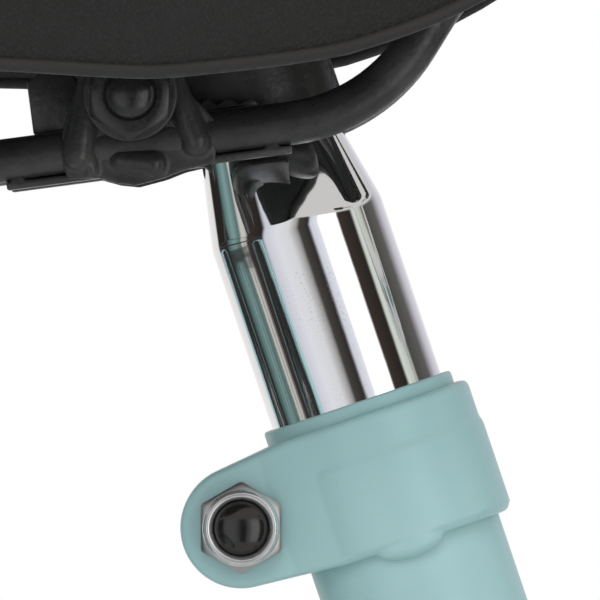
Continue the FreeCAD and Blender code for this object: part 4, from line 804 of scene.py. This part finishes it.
rubber = finish_material(
    "tyre_rubber", black_group, {"Black": (0.018, 0.018, 0.018, 1), "Worn": (0.075, 0.072, 0.066, 1),
    "Rough": 0.68, "Grain": 1.0, "Wear": 0.5}, {"Specular IOR Level": 0.35},
    0.0003)
alloy = finish_material("polished_alloy", steel_group, {"Metal": (0.78, 0.79, 0.80, 1),
    "Tarnish": (0.60, 0.59, 0.56, 1), "Polish": 0.2}, {"Metallic": 1.0}, 0.00003)
WHEELS = {"front": ("front_wheel", FRONT_AXLE)}
TRACK_HALF = (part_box("left_tyre")[0][1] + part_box("left_tyre")[1][1]) / 2
for wheel, body, way in (("left", "drive_axle", 1), ("right", "right_wheel", -1)):
    WHEELS[wheel] = (body, Vector((REAR_AXLE.x, way * TRACK_HALF, REAR_AXLE.z)))
CROWN_RADIUS, TYRE_HALF, TYRE_RING = 298.0 * MM, 22.4 * MM, 275.5 * MM
tyre_outline = [(260.5 * MM, 12.2 * MM), (261.5 * MM, 16.5 * MM)]
tyre_outline += [(TYRE_RING + 21.0 * MM * math.sin(math.radians(a)),
    TYRE_HALF * math.cos(math.radians(a))) for a in range(-36, 217, 9)]
tyre_outline += [(261.5 * MM, -16.5 * MM), (260.5 * MM, -12.2 * MM), (272 * MM, -15 * MM),
    (291 * MM, -9 * MM), (293.5 * MM, 0), (291 * MM, 9 * MM), (272 * MM, 15 * MM)]
for wheel, (body, centre) in WHEELS.items():
    tyre = lathe(f"{wheel}_tyre_casing", tyre_outline, centre, SIDEWAYS, 144)
    settled(tyre, rubber, body, "tyre", f"{wheel}_tyre", sharp=60)
    points, faces = [], []
    blocks = [(0.0, 5.2, 3.4, 0.0), (8.6, 4.4, 3.2, 0.5), (-8.6, 4.4, 3.2, 0.5), (15.2, 2.6, 4.2, 0.0),
        (-15.2, 2.6, 4.2, 0.0)]
    for step in range(108):
        for across, width, length, shift in blocks:
            angle = 2 * math.pi * (step + shift) / 108
            slant = 0.005 * (1 if across > 0 else -1 if across < 0 else 0)
            base = len(points)
            for lift in (0, 1):
                for u, v in ((-1, -1), (1, -1), (1, 1), (-1, 1)):
                    off = across * MM + u * (width - 0.35 * lift) * MM * 0.5 * 1.4
                    bow = math.sqrt(max(0.0, 1 - (off / TYRE_HALF) ** 2))
                    radius = TYRE_RING + 21.0 * MM * bow + (1.45 * MM if lift else -0.8 * MM)
                    turn = angle + v * (length - 0.35 * lift) * MM * 0.8 / CROWN_RADIUS + slant * u
                    points.append(centre + Vector((math.cos(turn) * radius, off, math.sin(turn) * radius)))
            faces += [(base + 4, base + 5, base + 6, base + 7)] + [
                (base + k, base + (k + 1) % 4, base + 4 + (k + 1) % 4, base + 4 + k) for k in range(4)]
    settled(mesh_piece(f"{wheel}_tread", points, faces), rubber, body, "tyre", sharp=20)
    ribs = []
    for radius, off in ((285.5, 19.4), (268.0, 20.8), (264.5, 18.6)):
        for way in (1, -1):
            ribs.append((radius * MM, way * off * MM))
    for k, (radius, off) in enumerate(ribs):
        turned_rib = [(radius + 0.7 * MM * math.cos(math.radians(a)),
            off + 0.7 * MM * math.sin(math.radians(a))) for a in range(0, 360, 60)]
        settled(lathe(f"{wheel}_sidewall_rib_{k}", turned_rib, centre, SIDEWAYS, 120), rubber, body, "tyre")
    rim = rounded([(260 * MM, 16 * MM), (246 * MM, 15.6 * MM), (243.6 * MM, 9 * MM), (242.6 * MM, 0),
        (243.6 * MM, -9 * MM), (246 * MM, -15.6 * MM), (260 * MM, -16 * MM),
                   (260 * MM, -12.7 * MM), (252 * MM, -12 * MM), (249 * MM, 0), (252 * MM, 12 * MM),
                   (260 * MM, 12.7 * MM)],
                  [0.8 * MM, 3 * MM, 4 * MM, 0, 4 * MM, 3 * MM, 0.8 * MM, 0.8 * MM, 2 * MM, 0, 2 * MM,
                  0.8 * MM], 4)
    settled(lathe(f"{wheel}_box_rim", rim, centre, SIDEWAYS, 160), alloy, body, "rim", f"{wheel}_rim", sharp=45)
    stem = lathe(f"{wheel}_valve", rounded([(0, 0), (3.9 * MM, 0), (3.9 * MM, 12 * MM), (3.0 * MM, 13 * MM),
        (3.0 * MM, 24 * MM), (0, 26 * MM)],
                                           [0, 0.5 * MM, 0.5 * MM, 0.3 * MM, 1 * MM, 0], 3),
                                           centre + Vector((0, 0, 0.246)), -UPWARD, 24, closed=False)
    settled(stem, rubber, body, "tyre")

# ---------------------------------------------------------------- wire basket
# Welded wire basket, black dipped: close uprights on heavier hoops, a lattice floor, and a round
# top bar. The dip leaves the wires a little thick; the soft drops where they cross are not drawn.
dipped = finish_material(
    "black_dipped_wire", black_group, {"Black": (0.022, 0.022, 0.023, 1), "Worn": (0.06, 0.06, 0.06, 1),
    "Rough": 0.38, "Grain": 0.5, "Wear": 0.3}, {}, 0.0001)
basket_low, basket_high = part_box("basket")
BAR = 3.2 * MM
x0, y0, z0 = Vector(basket_low) + Vector((BAR, BAR, 1.4 * MM))
x1, y1, z1 = Vector(basket_high) - Vector((BAR, BAR, BAR))


def hoop(name, height, inset, radius):
    """Rectangular hoop of wire with round corners."""
    path = []
    bend = 22 * MM
    for cx, cy, start in ((x1, y1, 0), (x0, y1, 90), (x0, y0, 180), (x1, y0, 270)):
        middle = Vector((cx - math.copysign(bend + inset, cx - x0 - 0.001),
            cy - math.copysign(bend + inset, cy), height))
        for step in range(7):
            turn = math.radians(start + 15 * step)
            path.append(middle + Vector((math.cos(turn), math.sin(turn), 0)) * bend)
    return tube_piece(name, path, radius, 14, closed=True)


settled(hoop("basket_top_bar", z1, 0, BAR), dipped, "frame", "basket_wire", "basket", sharp=60)
for number, share in enumerate((0.0, 0.3, 0.62)):
    settled(hoop(f"basket_hoop_{number}", z0 + 2 * MM + (z1 - z0) * share, 1.2 * MM, 2.0 * MM), dipped,
        "frame", "basket_wire", sharp=60)


def wires(name, ends, radius, sides=8):
    """Many straight wires as one piece."""
    points, faces = [], []
    for start, end in ends:
        first, second = square_to(end - start)
        base = len(points)
        for spot in (start, end):
            for side in range(sides):
                angle = 2 * math.pi * side / sides
                points.append(spot + (first * math.cos(angle) + second * math.sin(angle)) * radius)
        faces += [(base + side, base + (side + 1) % sides, base + sides + (side + 1) % sides,
            base + sides + side) for side in range(sides)]
        faces += [tuple(range(base, base + sides)), tuple(range(base + sides, base + 2 * sides))]
    return mesh_piece(name, points, faces)


along = [x0 + 14 * MM + (x1 - x0 - 28 * MM) * k / 15 for k in range(16)]
across = [y0 + 14 * MM + (y1 - y0 - 28 * MM) * k / 19 for k in range(20)]
uprights = [(Vector((x, y, z0)), Vector((x, y, z1))) for x in along for y in (y0, y1)]
uprights += [(Vector((x, y, z0)), Vector((x, y, z1))) for y in across for x in (x0, x1)]
settled(wires("basket_uprights", uprights, 1.25 * MM), dipped, "frame", "basket_wire", sharp=60)
lattice = [(Vector((x, y0, z0)), Vector((x, y1, z0))) for x in along]
settled(wires("basket_floor_across", lattice, 1.25 * MM), dipped, "frame", "basket_wire", sharp=60)
lattice = [(Vector((x0, y, z0 + 2.3 * MM)), Vector((x1, y, z0 + 2.3 * MM))) for y in across]
settled(wires("basket_floor_along", lattice, 1.25 * MM), dipped, "frame", "basket_wire", sharp=60)
wear(clamp_black, "basket_brackets", "brake_band", "band_brake_arm", "front_brake_arm_left",
    "front_brake_arm_right", "lever_clamps",
     "brake_lever_left", "brake_lever_right")

# ---------------------------------------------------------------- chain
# Half-inch roller chain round the ring and the freewheel, oiled: bright side plates in pairs,
# pins and rollers, with dark grease between. It is one loop that does not travel.
chain_steel = finish_material("oiled_chain", steel_group,
    {"Metal": (0.42, 0.40, 0.37, 1), "Tarnish": (0.10, 0.085, 0.07, 1), "Polish": 0.34}, {"Metallic": 1.0},
    0.00006)
wear(chain_steel, "chain")
wear(base_plastic, "pedal_left", "pedal_right")

# ---------------------------------------------------------------- grips
# Soft black rubber grips: a ribbed middle between smooth ends, with a flange inboard where the
# thumb rests. The ribs are shallow and their tops have gone slightly pale.
grip_rubber = finish_material(
    "grip_rubber", black_group, {"Black": (0.022, 0.021, 0.020, 1), "Worn": (0.07, 0.068, 0.064, 1),
    "Rough": 0.72, "Grain": 0.9, "Wear": 0.5}, {"Specular IOR Level": 0.3}, 0.0002)
wear(grip_rubber, "grips")

# ---------------------------------------------------------------- pedals
# Moulded block pedals: an open cage with cross ribs and rows of grip pips, an amber reflector let
# into each long edge, and a spindle cap at the outer end, plated on the pedal but given the moulded black of
# the cage here.
amber = finish_material(
    "amber_reflector", black_group, {"Black": (0.62, 0.17, 0.012, 1), "Worn": (0.80, 0.30, 0.04, 1),
    "Rough": 0.18, "Grain": 0.4, "Wear": 0.6}, {"Coat Weight": 0.6}, 0.0002)
for pedal, body in (("pedal_left", "left_pedal"), ("pedal_right", "right_pedal")):
    low, high = (Vector(corner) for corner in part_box(pedal))
    centre, span = (low + high) / 2, high - low
    cage = extruded(f"{pedal}_cage",
        rounded([(-span.x / 2, -span.z / 2), (span.x / 2, -span.z / 2), (span.x / 2, span.z / 2),
        (-span.x / 2, span.z / 2)],
                                             [7 * MM] * 4, 5), centre, Vector((1, 0, 0)), UPWARD, SIDEWAYS,
                                             span.y / 2)
    for way in (1, -1):
        for row in (-1, 0, 1):
            middle = centre + Vector((way * span.x * 0.27, row * span.y * 0.31, 0))
            reach_x, reach_y = span.x * 0.13, span.y * 0.115
            outline = rounded([(-reach_x, -reach_y), (reach_x, -reach_y), (reach_x, reach_y),
                (-reach_x, reach_y)], [3 * MM] * 4, 3)
            combine(cage, extruded("opening", outline, middle, Vector((1, 0, 0)), SIDEWAYS, UPWARD, span.z),
                "DIFFERENCE")
    bevel = cage.modifiers.new("edge", "BEVEL")
    bevel.width = 0.8 * MM
    bevel.segments = 2
    bevel.angle_limit = math.radians(50)
    apply_modifiers(cage)
    settled(cage, base_plastic, body, "pedal", pedal, sharp=40)
    pips, faces = [], []
    for up in (1, -1):
        for row in range(9):
            for column in (-0.44, -0.05, 0.05, 0.44):
                spot = centre + Vector((column * span.x, (row - 4) * span.y * 0.108,
                    up * (span.z / 2 - 0.4 * MM)))
                base = len(pips)
                pips += [spot + Vector((u * 1.7 * MM, v * 1.7 * MM, 0)) for u,
                    v in ((-1, -1), (1, -1), (1, 1), (-1, 1))]
                pips += [spot + Vector((u * 0.9 * MM, v * 0.9 * MM, up * 1.8 * MM)) for u,
                    v in ((-1, -1), (1, -1), (1, 1), (-1, 1))]
                faces += [(base, base + 1, base + 2, base + 3), (base + 4, base + 5, base + 6, base + 7)]
                faces += [(base + k, base + (k + 1) % 4, base + 4 + (k + 1) % 4,
                    base + 4 + k) for k in range(4)]
    settled(mesh_piece(f"{pedal}_pips", pips, faces), base_plastic, body, "pedal", sharp=20)
    for way in (1, -1):
        face = centre + Vector((way * (span.x / 2 - 0.6 * MM), 0, 0))
        outline = rounded([(-28 * MM, -5 * MM), (28 * MM, -5 * MM), (28 * MM, 5 * MM), (-28 * MM, 5 * MM)],
            [2 * MM] * 4, 3)
        lens = extruded(f"{pedal}_reflector_{'front' if way > 0 else 'rear'}", outline, face, SIDEWAYS,
            UPWARD, Vector((1, 0, 0)), 1.4 * MM)
        settled(lens, amber, body, "pedal", sharp=40)
    outward = SIDEWAYS * (1 if pedal == "pedal_left" else -1)
    cap = lathe(f"{pedal}_cap", rounded([(0, 0), (7 * MM, 0), (6 * MM, 3 * MM), (0, 3.4 * MM)],
        [0, 0.6 * MM, 1 * MM, 0], 3), centre + outward * (span.y / 2 - 0.2 * MM), outward, 40,
                closed=False)
    settled(cap, base_plastic, body, "pedal")

# ---------------------------------------------------------------- chainring
# Plated steel ring of 44 teeth, pierced between five arms, with a raised disc at the axle. The
# teeth are rounded where the rollers run and the plate is bright inside the ring.
TEETH, PITCH = 44, 12.7 * MM
ring_low, ring_high = (Vector(corner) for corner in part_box("chainring"))
ring_middle = Vector((CRANK_CENTRE.x, (ring_low.y + ring_high.y) / 2, CRANK_CENTRE.z))
pitch_circle = PITCH / 2 / math.sin(math.pi / TEETH)
outline = []
for step in range(TEETH * 8):
    wave = 0.5 - 0.5 * math.cos(2 * math.pi * step / 8)
    radius = pitch_circle + MM * (4.2 * wave - 3.9 * (1 - wave))
    angle = 2 * math.pi * step / (TEETH * 8)
    outline.append((radius * math.cos(angle), radius * math.sin(angle)))
ring = extruded("chainring_plate", outline, ring_middle, Vector((1, 0, 0)), UPWARD, SIDEWAYS, 1.2 * MM)
for arm in range(5):
    start, end = 72 * arm + 13, 72 * arm + 59
    gap = arc_points((0, 0), 70 * MM, start, end, 12) + arc_points((0, 0), 31 * MM, end - 4, start + 4, 8)
    gap = rounded(gap, [6 * MM] + [0] * 11 + [6 * MM, 5 * MM] + [0] * 7 + [5 * MM], 4)
    combine(ring, extruded("gap", gap, ring_middle, Vector((1, 0, 0)), UPWARD, SIDEWAYS, 8 * MM), "DIFFERENCE")
hole = lathe("hole", [(0, -8 * MM), (8.6 * MM, -8 * MM), (8.6 * MM, 8 * MM), (0, 8 * MM)], ring_middle,
    SIDEWAYS, 48)
combine(ring, hole, "DIFFERENCE")
bevel = ring.modifiers.new("edge", "BEVEL")
bevel.width = 0.3 * MM
bevel.segments = 1
bevel.angle_limit = math.radians(50)
apply_modifiers(ring)
settled(ring, nickel, "crankset", "chrome", "chainring", sharp=35)
boss = rounded([(8.8 * MM, -1.3 * MM), (24 * MM, -1.3 * MM), (24 * MM, 1.6 * MM), (20 * MM, 2.6 * MM),
    (8.8 * MM, 2.6 * MM)], [0, 0.4 * MM, 1 * MM, 1 * MM, 0], 3)
settled(lathe("chainring_boss", boss, ring_middle, -SIDEWAYS, 80), nickel, "crankset", "chrome", sharp=40)
wear(nickel, "crank_arms")

# ---------------------------------------------------------------- grip ribs
# Raised rings of rubber along each grip between smooth ends; the rounded knob that closes the outer
# end is not drawn. They follow the same line as the grips under them.
grip_mesh = frame["nodes"]["grips"]
spots = [grip_mesh.matrix_world @ Vector(corner.co) for corner in grip_mesh.data.vertices]
for left in (1, -1):
    side = "left" if left > 0 else "right"
    mine = [spot for spot in spots if spot.y * left > 0]
    inner = min(mine, key=lambda spot: spot.y * left).y
    outer = max(mine, key=lambda spot: spot.y * left).y
    near = [spot for spot in mine if abs(spot.y - inner) < 12 * MM]
    far = [spot for spot in mine if abs(spot.y - outer) < 12 * MM]
    start = sum(near, Vector()) / len(near)
    end = sum(far, Vector()) / len(far)
    line = (end - start).normalized()
    for k in range(15):
        spot = start.lerp(end, 0.16 + 0.58 * k / 14)
        section = [(15.3 * MM + 1.0 * MM * math.cos(math.radians(a)),
            1.6 * MM * math.sin(math.radians(a))) for a in range(0, 360, 45)]
        settled(lathe(f"grip_rib_{side}_{k}", section, spot, line, 40), grip_rubber, "handlebars", "grip",
            sharp=60)

# ---------------------------------------------------------------- weld beads on the frame
# Fillets of weld round the main joints, laid as rows of overlapping puddles and painted over; only the one
# round the foot of the seat tube is laid here.
def weld(name, centre, line, radius, width, tilt=None):
    """Ring of overlapping weld puddles round a tube."""
    line = Vector(line).normalized()
    first, second = square_to(line)
    points, faces = [], []
    count, around = 150, 10
    for step in range(count):
        angle = 2 * math.pi * step / count
        out = first * math.cos(angle) + second * math.sin(angle)
        swell = 1.0 + 0.13 * abs(math.sin(angle * 17))
        slant = out.dot(tilt) * radius if tilt else 0.0
        for k in range(around):
            turn = 2 * math.pi * k / around
            away = radius + width * 0.55 * swell * math.cos(turn)
            points.append(centre + out * away + line * (slant + width * swell * math.sin(turn)))
    for step in range(count):
        a, b = step * around, ((step + 1) % count) * around
        faces += [(a + k, a + (k + 1) % around, b + (k + 1) % around, b + k) for k in range(around)]
    settled(mesh_piece(name, points, faces), teal_paint, "frame", "frame_paint", sharp=80)


weld("weld_seat_tube_foot", CRANK_CENTRE + POST_LINE * 19.5 * MM, POST_LINE, 15.9 * MM, 3.0 * MM)

# ---------------------------------------------------------------- studio
# A pale floor, a white background and soft light all round. Bright and dark cards stand round the
# tricycle for its chrome to mirror; they are part of the world, which only mirrored light sees.
floor_mesh = bpy.data.meshes.new("studio_floor")
reach = 30.0
floor_mesh.from_pydata([(-reach, -reach, 0), (reach, -reach, 0), (reach, reach, 0), (-reach, reach, 0)], [],
    [(0, 1, 2, 3)])
floor = bpy.data.objects.new("studio_floor", floor_mesh)
bpy.context.collection.objects.link(floor)
floor.visible_glossy = False
floor_group, entry, leave = shader_group("floor_paper", {"Tone": (0.82, 0.82, 0.81, 1)})
tone = noise(floor_group, entry.outputs["Place"], 3.0)
floor_group.links.new(
    blended(floor_group, ranged(floor_group, tone, 0.3, 0.7, 0.0, 0.06), entry.outputs["Tone"],
    (0.7, 0.7, 0.7, 1)),
    leave.inputs["Colour"])
floor_group.links.new(ranged(floor_group, tone, 0.3, 0.7, 0.56, 0.64), leave.inputs["Roughness"])
floor_group.links.new(tone, leave.inputs["Height"])
floor_mesh.materials.append(finish_material("studio_paper", floor_group, {}, {}, 0.0005))

world = bpy.data.worlds.new("studio")
bpy.context.scene.world = world
world.use_nodes = True
tree = world.node_tree
background = tree.nodes["Background"]
rays = tree.nodes.new("ShaderNodeLightPath")
direction = tree.nodes.new("ShaderNodeTexCoord")
parts = tree.nodes.new("ShaderNodeSeparateXYZ")
tree.links.new(direction.outputs["Generated"], parts.inputs["Vector"])
backwards = combined(tree, "MULTIPLY", parts.outputs["Y"], -1.0)
bearing = combined(tree, "ARCTAN2", parts.outputs["X"], backwards)
turn = ranged(tree, bearing, -math.pi, math.pi, 0.0, 1.0)
cards = tree.nodes.new("ShaderNodeValToRGB")
tree.links.new(turn, cards.inputs["Fac"])
# bearing in degrees from straight behind the camera, positive to the right, with the card's colour
dark, brown = (0.022, 0.019, 0.016), (0.045, 0.033, 0.028)
studio_cards = [
    (-180, (0.93, 0.91, 0.90)), (-137, (0.80, 0.78, 0.77)), (-133, dark), (-112, dark),
    (-106, (0.10, 0.19, 0.18)),
    (-96, (0.22, 0.34, 0.33)), (-86, (0.10, 0.17, 0.16)), (-82, (0.62, 0.60, 0.55)), (-76, (0.55, 0.53, 0.50)),
    (-72, brown), (-50, dark), (-46, (0.62, 0.63, 0.70)), (-30, (0.78, 0.78, 0.82)), (-14, (0.72, 0.72, 0.74)),
    (-4, (0.36, 0.35, 0.34)), (0, (0.06, 0.055, 0.05)), (12, (0.03, 0.026, 0.024)), (15, (0.66, 0.67, 0.74)),
    (24, (0.80, 0.81, 0.86)), (27, (1.5, 1.5, 1.5)), (50, (1.5, 1.5, 1.5)), (53, brown), (74, dark),
    (78, (0.68, 0.72, 0.66)), (92, (0.50, 0.54, 0.46)), (97, (0.07, 0.07, 0.06)), (122, (0.12, 0.115, 0.11)),
    (140, (0.55, 0.54, 0.60)), (180, (0.93, 0.91, 0.94))]
ramp = cards.color_ramp
for element, (degrees, colour) in zip(ramp.elements, (studio_cards[0], studio_cards[-1])):
    element.color = (*colour, 1)
for degrees, colour in studio_cards[1:-1]:
    ramp.elements.new((degrees + 180) / 360).color = (*colour, 1)
high = ranged(tree, parts.outputs["Z"], 0.33, 0.37, 0.0, 1.0)
low = ranged(tree, parts.outputs["Z"], -0.62, -0.52, 1.0, 0.0)
mirrored = blended(tree, high, cards.outputs["Color"], (0.62, 0.61, 0.59, 1))
mirrored = blended(tree, low, mirrored, (0.55, 0.54, 0.53, 1))
seen = blended(tree, rays.outputs["Is Glossy Ray"], (0.86, 0.87, 0.90, 1), mirrored)
seen = blended(tree, rays.outputs["Is Camera Ray"], seen, (1.0, 1.0, 1.0, 1))
tree.links.new(seen, background.inputs["Color"])
background.inputs["Strength"].default_value = 1.0

key = bpy.data.lights.new("soft_key", "SUN")
key.energy = 1.1
key.angle = math.radians(40)
key_light = bpy.data.objects.new("soft_key", key)
key_light.rotation_euler = Vector((0.35, 0.75, -0.9)).to_track_quat("-Z", "Y").to_euler()
bpy.context.collection.objects.link(key_light)
key_light.visible_glossy = False

# The camera stands square to the drive side at saddle height, far back behind a very long lens.
bpy.context.scene.view_settings.view_transform = "Standard"
FRAME_WIDTH = 96.84 * MM
CAMERA_STANDS_OFF = 2.5
camera = bpy.data.cameras.new("camera")
camera.sensor_width = 36
camera.lens = camera.sensor_width * CAMERA_STANDS_OFF / FRAME_WIDTH
camera.clip_start = 0.1
camera.clip_end = 400
camera_stand = bpy.data.objects.new("camera", camera)
look_at = SEAT_TOP + Vector((-9.34, 0, 16.95)) * MM
camera_stand.location = look_at - SIDEWAYS * CAMERA_STANDS_OFF
camera_stand.rotation_euler = (math.radians(90), 0, 0)
bpy.context.collection.objects.link(camera_stand)
bpy.context.scene.camera = camera_stand
